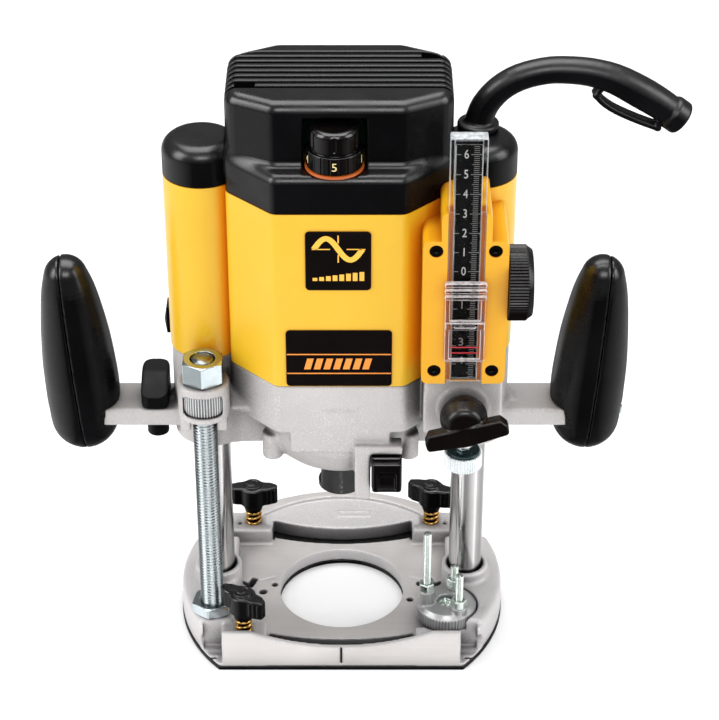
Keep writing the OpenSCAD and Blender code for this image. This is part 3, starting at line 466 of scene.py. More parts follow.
def finish(name, colour, other, rough, metal=0, grain=1500, depth=40, patch=45, stretch=None, wear=None,
           coat=0, shine=0.5, sky=False, painted_bands=None, tilt=None, corner=None, nook=0.007):
    """Colour that drifts between two tones in patches, roughness that varies, a fine grain depth microns
    deep, and wear where edges stand out. With sky, the shine comes from above and hardly from the floor.
    Bands are painted reflection and shade, tones met from facing left to facing right; tilt is painted
    shade, tones from facing down to facing up. Corner is the colour of painted shade where faces meet closer
    than nook."""
    g = Graph(name)
    tone = g.mix(g.spread(g.noise(patch, 4.0), 0, 1), colour, other)
    fine = g.noise(grain, 2.0, stretch)
    if wear:
        edge = g.node("NewGeometry").outputs["Pointiness"]
        rubbed = g.spread(g.noise(420.0), 0, 1, 0.42, 0.58)
        scuffs = g.math("MULTIPLY", g.spread(edge, 0, 1, 0.53, 0.60), rubbed)
        tone = g.mix(scuffs, tone, wear)
    turn = g.normal()
    # painted reflection and shade by how a face turns left or right, painted shade by how it turns down or
    # up, and painted shade in corners
    if painted_bands:
        tone = g.times(tone, g.ramp(g.spread(turn[0], 0, 1, -1, 1), painted_bands))
    if tilt:
        tone = g.times(tone, g.ramp(g.spread(turn[2], 0, 1, -1, 1), tilt))
    if corner:
        tone = g.mix(g.spread(g.open_air(nook), 1, 0, 0.30, 0.95), tone, corner)
    g.set("Base Color", tone)
    g.set("Metallic", metal)
    smears = g.spread(g.noise(patch * 2.3, 5.0), rough[0] - 0.05, rough[1] - 0.05)
    g.set("Roughness", g.math("MULTIPLY_ADD", fine, 0.10, smears))
    if sky:
        way = g.split(g.node("TexCoord").outputs["Reflection"])
        top = g.spread(way[2], 0.01, shine, -0.10, 0.55)
        left = g.spread(way[0], 0.26 * shine, 0, -0.9, -0.35)
        right = g.spread(way[0], 0, 0.12 * shine, 0.45, 0.9)
        g.set("Specular IOR Level", g.math("ADD", g.math("ADD", top, left), right))
    else:
        g.set("Specular IOR Level", shine)
    g.set("Coat Weight", coat)
    g.set("Coat Roughness", 0.12)
    if depth:
        g.set("Normal", g.bump(fine, 0.6, depth * MICRON))
    return g.mat


def plastic(name, colour, other, rough, grain, depth, patch, shine):
    """Dark plastic, which mirrors what's above it."""
    return finish(name, colour, other, rough, 0, grain, depth, patch, shine=shine, sky=True)


def ink(name, colour, other, rough=(0.35, 0.5)):
    return finish(name, colour, other, rough, depth=0)


def clear(name, tint, rims, frost=0.6):
    """Clear plastic: see-through on its front and back, bright and frosted where its edges catch light."""
    g = Graph(name)
    edge = g.spread(g.math("ABSOLUTE", g.normal()[1]), 1, 0, 0.55, 0.97)
    amount = g.math("MULTIPLY", edge, g.spread(g.noise(420.0, 3.0, (1, 1, 0.15)), 0.45, 1.0))
    g.set("Base Color", g.mix(amount, tint, rims))
    g.set("Transmission Weight", g.spread(amount, 1.0, 1.0 - frost, 0, 1))
    g.set("Roughness", g.spread(amount, 0.0, 0.25, 0, 1))
    g.set("IOR", 1.04)
    return g.mat


def cast_finish(name, light, dark, fleck):
    """Blasted casting whose machined faces, marked on the mesh, are smoother and a little warmer."""
    g = Graph(name)
    machined = g.node("Attribute", {"attribute_name": "machined"}).outputs["Fac"]
    drift = g.spread(g.noise(16.0, 4.0), 0, 1)
    rough = g.mix(g.spread(g.noise(2300.0, 2.0), 0, 0.8, 0.52, 0.68), g.mix(drift, light, dark), fleck)
    milled = g.mix(drift, (0.72, 0.69, 0.675), (0.62, 0.59, 0.575))
    scratches = g.spread(g.noise(500.0, 3.0, (0.06, 1, 1)), 0, 0.35, 0.40, 0.75)
    tone = g.mix(machined, rough, g.mix(scratches, milled, (0.76, 0.73, 0.70)))
    # painted shade: the colour darkens where other surfaces crowd round within 20 mm, in slots, corners and
    # under overhangs
    shade = g.ramp(g.open_air(0.02), ((0.0, 0.05), (0.3, 0.22), (0.6, 0.72), (0.85, 1.0)))
    g.set("Base Color", g.times(tone, shade))
    g.set("Metallic", 0.38)
    g.set("Roughness", g.mix(machined, g.spread(g.noise(60.0, 4.0), 0.46, 0.58),
                             g.spread(g.noise(90.0, 4.0), 0.36, 0.48), "FLOAT"))
    coarse = g.math("MULTIPLY", g.noise(900.0, 3.0), g.spread(machined, 1.0, 0.15, 0, 1))
    g.set("Normal", g.bump(coarse, 0.9, 300 * MICRON))
    return g.mat


# painted reflection and shade on the bright zinc: tones by how far a face turns left or right
FACET_SHADE_BANDS = ((0.0, 0.6), (0.14, 1.0), (0.2, 0.9), (0.23, 0.34), (0.28, 0.38), (0.33, 0.8), (0.5, 0.7),
          (0.62, 0.9), (0.75, 0.85), (0.9, 1.0), (1.0, 0.7))
# painted reflection on the ground steel: dark and bright vertical streaks by how a face turns left or right
COLUMN_REFLECTION_BANDS = ((0.0, 0.45), (0.12, 0.65), (0.26, 1.15), (0.34, 1.0), (0.4, 0.26), (0.5, 0.32), (0.58, 0.55),
          (0.68, 0.8), (0.74, 1.2), (0.8, 0.6), (0.92, 0.35), (1.0, 0.3))
# painted shade on the height screw's thread: flanks darker or lighter by how far they face down or up
THREAD_FLANK_SHADE = ((0.0, 0.05), (0.3, 0.07), (0.42, 1.0), (0.6, 1.0), (0.78, 0.55), (1.0, 0.5))
zinc = finish("bright_zinc", (0.74, 0.82, 0.85), (0.64, 0.73, 0.76), (0.14, 0.26), 1, 600, 10, 160,
              painted_bands=FACET_SHADE_BANDS)
# painted shade: the thread is brightest in its middle, darker at its sides and on its flanks
thread_zinc = finish("bright_thread", (0.84, 0.92, 0.95), (0.78, 0.86, 0.89), (0.22, 0.32), 1, 600, 0, 40,
                     painted_bands=((0.0, 0.4), (0.5, 1.0), (1.0, 0.4)), tilt=THREAD_FLANK_SHADE)
# painted shade: the turret's die-cast zinc is darker on faces that turn down
zinc_grey = finish("die_cast_zinc", 0.56, (0.48, 0.485, 0.49), (0.36, 0.48), 0.8, 900, 40, 120,
                   tilt=((0.0, 0.5), (0.3, 0.6), (0.6, 1.0)))
zinc_green = finish("passivated_zinc", (0.86, 0.93, 0.88), (0.76, 0.85, 0.79), (0.14, 0.28), 1, 700, 10, 140)
# painted shade: the knurling turns near black in its narrow grooves
knurled_zinc = finish("knurled_zinc", (0.76, 0.77, 0.77), (0.68, 0.69, 0.70), (0.30, 0.42), 0.6, 900, 20, 120,
                      corner=0.02, nook=0.0013)
foot_zinc = finish("plated_foot", (0.80, 0.83, 0.84), (0.72, 0.75, 0.76), (0.2, 0.32), 1, 800, 20, 120)
foot_dark = finish("dark_plated_washer", (0.03, 0.055, 0.06), (0.02, 0.04, 0.045), (0.2, 0.3), 0.6, depth=0)
steel = finish("ground_steel", (0.72, 0.71, 0.71), (0.66, 0.65, 0.65), (0.12, 0.22), 1, 900, 8, 60,
               stretch=(1, 1, 0.02), painted_bands=COLUMN_REFLECTION_BANDS)
spring_steel = finish("oiled_spring_steel", (0.20, 0.20, 0.21), (0.13, 0.13, 0.14), (0.25, 0.4), 1)
blackened = finish("blackened_steel", (0.022, 0.022, 0.024), (0.035, 0.035, 0.037), (0.3, 0.45), 0.6, 1200,
                   20, wear=0.12)
brass = finish("brass_wire", (0.85, 0.52, 0.16), (0.62, 0.34, 0.08), (0.16, 0.30), 1, 700, 10, 300)
bronze = finish("sintered_bronze", (0.55, 0.36, 0.17), (0.42, 0.27, 0.12), (0.4, 0.55), 1, 1600, 80)
copper = finish("enamelled_copper", (0.72, 0.30, 0.12), (0.55, 0.20, 0.07), (0.2, 0.35), 1, coat=0.6)
lamination = finish("lamination_stack", (0.30, 0.30, 0.31), (0.22, 0.22, 0.24), (0.35, 0.5), 0.9, 1400, 100,
                    stretch=(0.02, 0.02, 1))
carbon = finish("pressed_carbon", (0.03, 0.03, 0.032), 0.05, (0.5, 0.65), 0.1)
board = finish("potted_board", (0.02, 0.09, 0.05), (0.03, 0.12, 0.06), (0.3, 0.5))
cast = cast_finish("cast_aluminium", (0.54, 0.515, 0.51), (0.44, 0.42, 0.415), (0.76, 0.74, 0.73))
cast_base = cast_finish("blasted_aluminium", (0.68, 0.655, 0.66), (0.58, 0.56, 0.565), (0.84, 0.82, 0.82))
# painted shade: the yellow nylon turns deep orange where faces meet in corners
yellow = finish("yellow_nylon", (0.79, 0.475, 0.022), (0.76, 0.45, 0.018), (0.28, 0.36), 0, 2400, 10, 18,
                shine=0.40, corner=(0.70, 0.22, 0.004))
# the yellow nylon made more orange for the scale bracket, as painted shade and bounced light, with deeper
# painted shade in its corners
shaded_yellow = finish("yellow_nylon_painted_shade", (0.77, 0.385, 0.010), (0.74, 0.36, 0.008), (0.28, 0.36), 0, 2400, 10, 18,
               shine=0.35, corner=(0.50, 0.13, 0.002))
black = plastic("textured_black", (0.0022, 0.0022, 0.0026), (0.004, 0.004, 0.0046), (0.24, 0.34),
                2200, 40, 35, 0.8)
matte = plastic("matte_black", (0.004, 0.004, 0.0045), (0.006, 0.006, 0.0066), (0.45, 0.6),
                2200, 40, 35, 0.3)
gloss = plastic("gloss_black", (0.002, 0.0016, 0.0016), (0.0035, 0.0025, 0.0025), (0.12, 0.22),
                900, 10, 60, 0.8)
knob_brown = plastic("brown_black", (0.003, 0.002, 0.002), (0.005, 0.003, 0.003), (0.24, 0.34),
                     1500, 20, 50, 0.7)
rubber = plastic("moulded_rubber", (0.003, 0.003, 0.0036), (0.005, 0.005, 0.006), (0.32, 0.42),
                 1800, 30, 50, 0.8)
label_black = plastic("label_film", (0.004, 0.003, 0.003), (0.006, 0.004, 0.004), (0.22, 0.30),
                      700, 6, 45, 0.5)
strip_black = finish("printed_strip", 0.003, 0.005, (0.3, 0.4), depth=0, shine=0.05)
# painted shade: the dial ring's orange is darkened for the shade of the recess it sits in
orange = finish("orange_ring", (0.50, 0.105, 0.012), (0.44, 0.085, 0.010), (0.35, 0.5))
ink_orange = ink("orange_ink", (0.90, 0.30, 0.03), (0.85, 0.26, 0.02))
ink_yellow = ink("yellow_ink", (0.98, 0.52, 0.05), (0.94, 0.47, 0.04))
ink_white = ink("white_ink", (0.58, 0.58, 0.57), (0.46, 0.46, 0.45), (0.4, 0.55))
ink_cream = ink("cream_ink", (0.85, 0.70, 0.32), (0.75, 0.60, 0.26), (0.4, 0.55))
ink_grey = ink("grey_ink", 0.22, 0.17, (0.4, 0.55))
red_line = ink("red_line", (0.65, 0.01, 0.02), (0.5, 0.01, 0.02), (0.3, 0.4))
clear_rims = clear("clear_acrylic", (0.98, 0.985, 0.99), (0.80, 0.84, 0.86))
cursor_clear = clear("clear_cursor", (0.97, 0.93, 0.93), (0.92, 0.86, 0.86), 0.8)


# ---------- CAD parts shown as they are, with their edges rounded ----------

def dress(names, material, bevel, segments=2):
    """Gives CAD nodes their material and rounds their edges by bevel, in mm."""
    for name in names.split():
        obj = nodes[name]
        obj.data.materials.clear()
        obj.data.materials.append(material)
        for p in obj.data.polygons:
            p.material_index = 0
        if bevel:
            obj.modifiers.new("weld", "WELD").merge_threshold = 0.00001
            m = obj.modifiers.new("bevel", "BEVEL")
            m.width, m.segments, m.angle_limit = bevel * MM, segments, math.radians(28)
            m.harden_normals = False
            m.use_clamp_overlap = True
            w = obj.modifiers.new("normals", "WEIGHTED_NORMAL")
            w.keep_sharp = False
            w.weight = 90


for part in (
        ("sole_plate", black, 0.3), ("sole_screws assembly_screws", zinc, 0.15), ("guide_columns", steel, 0),
        ("lock_knob_spring", spring_steel, 0), ("motor_housing", yellow, 0.7, 3),
        ("scale_bracket", shaded_yellow, 0.5, 3), ("bracket_screws", gloss, 0.25), ("scale_strip", strip_black, 0),
        ("dial_ring", orange, 0.2), ("front_labels", label_black, 0.2),
        ("stator_core armature", lamination, 0.2), ("field_coils commutator", copper, 0.4),
        ("brush_holders", brass, 0.2), ("carbon_brushes", carbon, 0.2), ("electronics_module", board, 0.5),
        ("bearings spindle_shaft collet depth_rod", steel, 0.1), ("column_bushes", bronze, 0.2),
        ("mains_cable", rubber, 0.3), ("cooling_fan power_switch", black, 0.4),
        ("collet_nut", blackened, 0.6, 3)):
    dress(*part)


# ---------- base ----------

def arc_disc(half, mid, end, low, high):
    """Disc whose front edge passes through (0, mid) and (half, end), or its back edge if end is lower."""
    rise = end - mid
    r = (half * half + rise * rise) / (2 * rise)
    return cyl("z", 0, mid + r, abs(r), low, high)


def crescent(half, front, back, low, high):
    """Slot between two arcs, each given as its front edge's y in the middle and at the ends."""
    f = less(arc_disc(half, *front, low, high), arc_disc(half, *back, low, high))[0]
    return ((lambda x, y, z: np.maximum(f(x, y, z), abs(x) - half + 0 * y)), (-half, front[0], low),
            (half, back[1] + 2, high))


def wall_outline(half, dip, low, rise):
    """Outline of the front wall: its top dips between its ends along an arc."""
    r = (dip * dip + rise * rise) / (2 * rise)
    arc = [(x, WALL_TOP - rise + r - math.sqrt(r * r - x * x)) for x in np.linspace(-dip, dip, 24)]
    return [(-half, low), (half, low), (half, WALL_TOP)] + arc[::-1] + [(-half, WALL_TOP)]


def base_casting():
    f = Field((-85, -58, 1.2), (85, 85, 27.8), 0.78)
    f.add(cyl("z", 0, 0, BASE_R, 2, 9, 0.9))
    f.add(both(meet(box(55, 95, -41, 31, 2, 20, 1.6), cyl("z", 0, 0, BASE_R, 2, 20, 3.0))), 1.5)
    for y0, y1 in ((-60, -39.4), (38, 55)):
        f.add(both(meet(box(38, 72, y0, y1, 2, 18, 1.2), cyl("z", 0, 0, BASE_R, 2, 18, 1.0))), 1.5)
    wall = prism("y", wall_outline(60.5, 46, 2, 9.3), -70, WALL_BACK, 0.6)
    f.add(meet(wall, cyl("z", 0, 0, BASE_R, 2, 30)), 0.8)
    pad = cyl("z", 0, 0, BASE_R, 2, 12, 1.0)[0]
    f.add((lambda x, y, z: np.maximum(pad(x, y, z), 50 - y + 0.0 * x), (-84, 50, 2), (84, 84, 12)), 1.0)
    f.cut(meet(arc_disc(48, 77.5, 56, 0, 40), box(-60, 60, 44, 90, 10.2, 30)), 1.2)
    f.add(columns(12, 2, 26, 1.2), 2.5)
    for x, y in CLAMPS.values():
        f.add(box(x - 6.5, x + 6.5, y - 6.5, y + 6.5, 8, 18, 1.0), 1.0)
    f.keep(lambda x, y, z: WALL_FRONT - y + 0 * x + 0 * z, 1.2)
    # openings: cutter, rear slot, the dark gap behind the wall, columns
    f.cut(cyl("z", 0, 0, 32.5, 0, 40), 0.8)
    f.cut(crescent(38, (38.6, 44.5), (50.4, 58), 0, 40), 0.5)
    f.cut(less(box(-37.5, 37.5, WALL_BACK, -30, 0, 12), arc_disc(38, -42.6, -37.8, 0, 12)), 0.4)
    f.cut(columns(9.3, 22.5, 40), 0.5)
    f.cut(columns(8.55, 6, 40))
    for x0, x1 in ((-70.5, -60.5), (60.5, 69.3)):
        f.cut(box(x0, x1, -80, -41, 3.5, 60), 0.6)
        mid = (x0 + x1) / 2
        f.cut(box(mid - 2.2, mid + 2.2, -51.2, -50.2, 1, 8))
    # seats of the turret and the height screw
    f.cut(cyl("z", *TURRET, 16.2, 13.5, 60), 0.6)
    f.cut(box(36, 60.5, WALL_BACK, -36, 14.4, 60), 0.4)
    f.cut(cyl("z", *TURRET, 2.5, 4, 60))
    f.cut(cyl("z", *SCREW, 6.1, 7.9, 60))
    # fence rod bores, screw holes and small marks
    for y in (-46.5, 46.5):
        f.cut(both(cyl("x", y, 8.2, 5.05, 37, 96)))
    for x, y in CLAMPS.values():
        f.cut(cyl("z", x, y, 3.1, 8, 60))
    for x, y, r in ((-41.5, -3.5, 2.1), (41.5, 3.5, 2.1), (-35.4, 2.7, 1.7), (35.8, -10, 1.7)):
        f.cut(cyl("z", x, y, r, 0, 12), 0.4)
    for side in (-1, 1):
        for mid, half, y0, y1, low, lean, pivot, k in ((47.3, 1.7, 0.6, 8.2, 0, 20, (47.3, 5), 0),
                                                       (49, 3.2, 0.4, 3.6, 0, 20, (47.3, 5), 0),
                                                       (40, 5, 6.6, 7.4, 8.5, -22, (40, 7), 0.3)):
            notch = box(side * mid - half, side * mid + half, y0, y1, low, 12)
            f.cut(turned(notch, "z", side * lean, (side * pivot[0], pivot[1], 0)), k)
    f.cut(box(-0.5, 0.5, -60, -55.7, 4, 13.5))
    f.add(box(-3, 15, 61.2, 66.2, 9.6, 10.7, 0.2), 0.6)
    f.cut(box(-2.3, 14.3, 61.9, 65.5, 10.35, 12))
    for x, y in ((52, 24), (20, -36.8)):
        f.cut(both(cyl("z", x, y, 1.7, 1, 7)))
    verts, quads, normals = f.surface()
    obj = mesh_object("base_casting_sand_cast", verts, quads, normals)
    x, y, z = verts.T
    tops = ((abs(z - 9) < 0.7) & (y < 52)) | ((abs(z - 12) < 0.6) & (y > 50)) | ((z > 13.5) & (y < -50))
    machined = (normals[:, 2] > 0.96) & tops | (normals[:, 1] < -0.96) & (y < -55)
    marks = obj.data.attributes.new("machined", "FLOAT", "POINT")
    marks.data.foreach_set("value", machined.astype(np.float32))
    settle(obj, "base", cast_base, "cast_metal", "base_casting")


base_casting()


# ---------- carriage casting ----------

def octagon(x, y, flat, side, r):
    return rounded([(-flat, -y), (flat, -y), (x, -side), (x, side), (flat, y), (-flat, y), (-x, side),
                    (-x, -side)], r)


def grown_body(grow=0.0, r=6.0):
    """Plan of the motor body, grown outwards."""
    side = grow * math.tan(math.radians(22.5))
    return octagon(53 + grow, 43.5 + grow, 30.5 + side, 21 + side, r + grow)


def carriage_casting():
    f = Field((-127, -54, 96), (122, 46, 174.5), 0.85)
    f.add(prism("z", grown_body(), 137, 164, 0.7))
    f.add(revolve("z", 0, 0, [(0, 99), (21, 99, 2), (31, 106, 6), (37, 112, 8), (42, 122, 10), (44.4, 137),
                              (44.4, 150), (0, 150)]), 1.5)
    f.add(box(-24, 24, -43.5, -25, 125.5, 138, 0.7), 1.0)
    for y in (-25, 25):
        f.add(both(cyl("z", 33.5, y, 5, 111.5, 126, 1.0)), 2.0)
    f.add(columns(18.5, 112, 164, 0.9), 2.5)
    f.add(both(box(38, 62, -13, 13, 111, 164, 1.0)), 3.0)
    f.add(box(-125, -72, -13, 13, 120.5, 130, 1.4), 2.5)
    f.add(box(72, 120, -13, 13, 120.5, 130, 1.4), 2.5)
    for side in (-1, 1):
        rib = [(side * 95, 121.5), (side * 80, 121.5), (side * 80, 137)]
        f.add(prism("y", rib, -3, 3, 0.6), 2.0)
    # block of the depth rod
    f.add(box(39.5, 77, -50, -10, 141, 164, 1.0), 1.2)
    f.add(box(40, 77, -50, -12, 160, 172.8, 0.7))
    f.add(prism("x", [(-47, 141.5, 1), (-38, 131, 2), (-14, 131), (-14, 142)], 46, 73, 1.2), 1.5)
    f.add(cyl("y", *ROD_LOCK, 12.5, -50.5, -46, 0.5), 0.8)
    # boss of the height screw, its lugs and the web behind it
    f.add(cyl("z", *SCREW, 12.6, 141, 160, 1.0), 1.0)
    f.add(box(-77, -55, -31, -12, 141, 158, 1.0), 2.0)
    for x in (-77.5, -60):
        f.add(box(x, x + 5, -36, -16, 133, 143, 0.8), 1.2)
    web = rounded([(-30, 142), (-12, 130), (-5, 130), (-5, 150), (-20, 150)], 1.0)
    f.add(prism("x", web, -60, -44, 1.0), 2.0)
    # bracket of the lock button
    f.add(box(7, 14.6, -47, -20, 100, 131, 0.7), 1.2)
    f.add(box(7, 30, -47, -38, 126.5, 131, 0.7), 1.2)
    # inside: motor, nose and columns
    f.cut(cyl("z", 0, 0, 39.5, 128, 190))
    f.cut(revolve("z", 0, 0, [(0, 113), (24, 113), (39.5, 128.2), (0, 128.2)]))
    f.cut(cyl("z", 0, 0, 17.55, 100, 114))
    f.cut(cyl("z", 0, 0, 13, 80, 120))
    f.cut(columns(10.55, 80, 200), 0.4)
    # height screw and the window of its ring
    f.cut(cyl("z", *SCREW, 6.6, 120, 175), 0.5)
    f.cut(cyl("z", *SCREW, 11.6, 143.9, 156.3))
    ring_window = rounded([(-75.3, 144.4), (-56.7, 144.4), (-56.7, 155.8), (-75.3, 155.8)], 2.2)
    f.cut(prism("y", ring_window, -60, -31), 0.4)
    # depth rod and its lock, lever, button, screws
    f.cut(cyl("z", *ROD, 5.1, 100, 200), 0.4)
    f.cut(cyl("z", *ROD, 10.3, 110, 143.6))
    f.cut(cyl("y", *ROD_LOCK, 3.1, -60, -36))
    f.cut(cyl("z", *LEVER, 4.2, 100, 140))
    f.cut(box(14.9, 30.1, -53, -31.6, 106.5, 125.5), 0.4)
    for x, y in LONG_SCREWS:
        f.cut(cyl("z", x, y, 2.1, 100, 190))
    f.cut(both(cyl("x", 0, HANDLE_Z, 2.6, 92, 140)))
    f.cut(box(-22.5, 21, -46, -43.0, 126.8, 127.5))
    f.cut(box(38.6, 39.7, -60, -40, 141, 175), 0.3)
    sculpted("carriage_casting_sand_cast", f, "carriage", cast, "cast_metal", "carriage_casting")


carriage_casting()


# ---------- covers ----------

def top_cover():
    f = Field((-55, -45.5, 255.5), (55, 45.5, 309.5), 0.6)
    f.add(prism("z", grown_body(-0.05), 257, 276.4, 5.0))
    f.add(prism("z", grown_body(-0.05), 257, 266))
    f.add(prism("z", octagon(52.4, 34, 30, 22, 9), 262, 307.9, 6.0), 4.5)
    for i in range(8):
        y = -15 + 5.2 * i
        for x0, x1, low in ((-60, 60, 303.2), (-60, -49.5, 292), (49.5, 60, 292)):
            f.cut(box(x0, x1, y - 1.1, y + 1.1, low, 312, 0.3), 0.6)
    for x, y in ((-43, -12.4), (43, 18.8)):
        f.cut(box(x - 4.6, x + 4.6, y - 2.4, y + 2.4, 303.2, 312, 0.2), 0.3)
    # recess of the dial, then the inside
    f.cut(cyl("z", *DIAL, 14.4, 276.2, 300.6), 0.8)
    f.cut(prism("z", [(-16.4, -60), (12.4, -60), (12.4, -33), (-16.4, -33)], 276.2, 300.6), 0.8)
    f.cut(prism("z", octagon(48.5, 30, 26, 11, 4), 255, 296))
    f.cut(cyl("z", *DIAL, 4.3, 250, 300))
    for x, y in LONG_SCREWS:
        f.add(cyl("z", x, y, 4, 257, 275))
        f.cut(cyl("z", x, y, 1.65, 250, 275))
    sculpted("top_cover_moulded", f, "carriage", black, "black_plastic", "top_cover")


def tower_caps():
    f = Field((-85.5, -20, 255.8), (85.5, 20, 278), 0.6)
    f.add(columns(18.5, 257, 276, 7.5, CAP_X))
    f.add(columns(18.5, 257, 265, 0.3, CAP_X))
    f.cut(columns(15.5, 250, 272.5, x=CAP_X))
    f.add(columns(3, 257, 275, x=CAP_X))
    f.cut(prism("z", grown_body(0.1), 250, 290), 0.3)
    sculpted("tower_caps_moulded", f, "carriage", black, "black_plastic", "tower_caps")


top_cover()
tower_caps()


# ---------- handles ----------

def spline(points, count):
    """Points along a smooth curve through the given ones."""
    pts = np.array(points, float)
    ends = np.vstack([2 * pts[0] - pts[1], pts, 2 * pts[-1] - pts[-2]])
    out = []
    for i in range(len(pts) - 1):
        a, b, c, d = ends[i:i + 4]
        for t in np.linspace(0, 1, count, endpoint=False):
            out.append(0.5 * (2 * b + (c - a) * t + (2 * a - 5 * b + 4 * c - d) * t * t
                              + (3 * b - a - 3 * c + d) * t ** 3))
    return np.array(out + [pts[-1]])


HANDLE_ROWS = ((119.2, 16.9, 0.0), (127, 17.9, 0.0), (138, 18.3, 0.2), (150, 18.0, 1.0), (164, 17.0, 1.8),
               (178, 15.3, 2.8), (190, 13.3, 3.7), (199.4, 10.7, 4.5))  # height, radius, lean outwards


def handle_body(side, shrink=0.0):
    """Long rounded grip: thickest low down, leaning out towards its top."""
    x = 122.6 if side > 0 else -128.4
    rows = spline(HANDLE_ROWS, 5)
    return rope([(x + side * lean, 0, z) for z, r, lean in rows], [r - shrink for z, r, lean in rows])


def handle_shells(which):
    """Both handles' outer or inner shells; they meet on a shallow parting groove."""
    fields = []
    lean = math.radians(4.5)
    for side in (-1, 1):
        x, arm_end = (124, 124) if side > 0 else (-129, -129)
        f = Field((x - 26, -19.4, 99), (x + 26, 19.4, 213), 0.85)
        f.add(handle_body(side))
        f.cut(handle_body(side, 3.5))
        sign = side if which == "outer" else -side

        def plane(px, py, pz, x=x, side=side, sign=sign):
            across = (px - x) * math.cos(lean) - side * (pz - 125) * math.sin(lean) + 0 * py
            return 0.12 - sign * across
        f.keep(plane, 0.7)
        f.cut(box(*sorted((side * 90, arm_end)), -13.2, 13.2, 120.3, 130.2), 0.5)
        f.cut(cyl("x", 0, HANDLE_Z, 2.6, *sorted((side * 90, side * 140))))
        f.cut(cyl("x", 0, HANDLE_Z, 5.3, *sorted((side * 160, x + side * 13.5))), 0.5)
        fields.append(f)
    sculpted(f"handle_{which}_halves", fields, "carriage", black, "black_plastic", f"handle_{which}_shells")


handle_shells("outer")
handle_shells("inner")


# ---------- knobs ----------

def wing_knob(name, x, y, turn):
    """Wing head with an S-shaped plan, ribbed grips and a round cap, on its screw."""
    f = Field((x - 16, y - 16, 13), (x + 16, y + 16, 44), 0.36)
    f.add(cyl("z", x, y, 2.6, 13.5, 28))
    f.add(revolve("z", x, y, [(0, 26.2), (4.6, 26.2, 0.6), (5.6, 31), (5.6, 33), (0, 33)]))
    f.add(cyl("z", x, y, 6.6, 30, 41.4, 1.2), 0.8)
    wing = rounded([(0, -5.6), (8, -5.3, 1.5), (12.6, -4.3, 1.2), (13.2, -0.6, 1.4), (10, 1.9, 1.5),
                    (4, 3.4, 2), (0, 4)])
    for half in (0, 180):
        shape = prism("z", [(x + p, y + q) for p, q in wing], 31, 41.6, 1.3)
        f.add(turned(shape, "z", turn + half, (x, y, 0)), 1.0)
        for px in (6.4, 8.6, 10.8):
            rib = cyl("z", x + px, y - 5.2 + 0.12 * (px - 6), 0.55, 32.4, 40.2, 0.3)
            f.add(turned(rib, "z", turn + half, (x, y, 0)), 0.3)
    f.add(cyl("z", x, y, 4.9, 40, 42.8, 0.5), 0.3)
    f.cut(cyl("z", x, y, 3.5, 42.3, 50), 0.3)
    f.add(cyl("z", x - 0.9, y + 0.9, 2.4, 40, 42.8, 0.2), 0.2)
    sculpted(f"wing_knob_{name}", f, f"clamp_{name}", black, "black_plastic", f"clamp_knob_{name}")


for clamp, turn in (("front_left", -25), ("rear_left", 10), ("rear_right", -12)):
    wing_knob(clamp, *CLAMPS[clamp], turn)


def rod_lock_knob():
    x, z = ROD_LOCK
    f = Field((36, -71, 133), (81, -39, 179), 0.5)
    f.add(cyl("y", x, z, 3, -57, -41.1))
    f.add(revolve("y", x, z, [(0, -68.7), (8.5, -67, 4), (11.3, -60, 3), (11.3, -57, 2), (9.6, -53.4, 0.8),
                              (0, -53.4)]))
    grip = [(38.6, 152.5, 1.2), (38.6, 147.5, 1.8), (x, 145.6, 3), (78.6, 147.5, 1.8), (78.6, 152.5, 1.2),
            (76, 156.2, 1.2), (41.2, 156.2, 1.2)]
    f.add(turned(prism("y", grip, -68.8, -62, 1.1), "y", -15, (x, 0, z)), 1.0)
    f.cut(turned(cyl("y", x, 151, 0.9, -75, -68.5), "y", -15, (x, 0, z)), 0.2)
    sculpted("rod_lock_knob_moulded", f, "rod_lock", knob_brown, "gloss_black", "rod_lock_knob")


def lock_button():
    f = Field((14, -54, 105.5), (31, -34.5, 126.5), 0.32)
    f.add(box(15.1, 29.9, -47.5, -36, 106.8, 125.2, 0.8))
    f.add(box(15.3, 29.7, -52.3, -46, 107.5, 124.5, 1.5), 0.2)
    f.cut(box(14, 31, -48.3, -47.7, 105, 128), 0.2)
    f.add(box(16.5, 28.5, -50, -46, 108.5, 123.5))
    f.cut(cyl("x", -58.5, 113.5, 8.6, 18.2, 26.8, 1.2), 1.0)
    sculpted("spindle_lock_button_moulded", f, "spindle_lock", gloss, "gloss_black", "spindle_lock_button")


def lever():
    f = Field((-101, -15.5, 107), (-83, 15, 147), 0.4)
    f.add(cyl("z", *LEVER, 4, 110, 132))
    f.add(cyl("z", *LEVER, 5.4, 109, 120, 0.8))
    plan = [(-98.9, -13.4, 4.8), (-85.3, -13.4, 4.8), (-85.3, 11.8, 5.6), (-98.9, 11.8, 5.6)]
    side = [(-14, 130.5, 0.8), (13, 130.5, 0.8), (13, 144.8, 2), (0, 144.6, 9), (-14, 137.2, 3)]
    f.add(meet(prism("z", rounded(plan, steps=6), 130.4, 148, 1.5),
               prism("x", rounded(side, steps=6), -99.5, -84.5, 2.4)))
    arc = less(cyl("x", 20.6, 137.6, 35.0, -110, -70), cyl("x", 20.6, 137.6, 34.2, -110, -70))[0]
    f.cut((lambda x, y, z: np.maximum(arc(x, y, z), y + 4.0), (-100, -15, 128), (-84, -4, 148)), 0.4)
    sculpted("plunge_lock_lever_moulded", f, "lever", matte, "black_plastic", "plunge_lock_lever")


rod_lock_knob()
lock_button()
lever()


# ---------- cable ----------

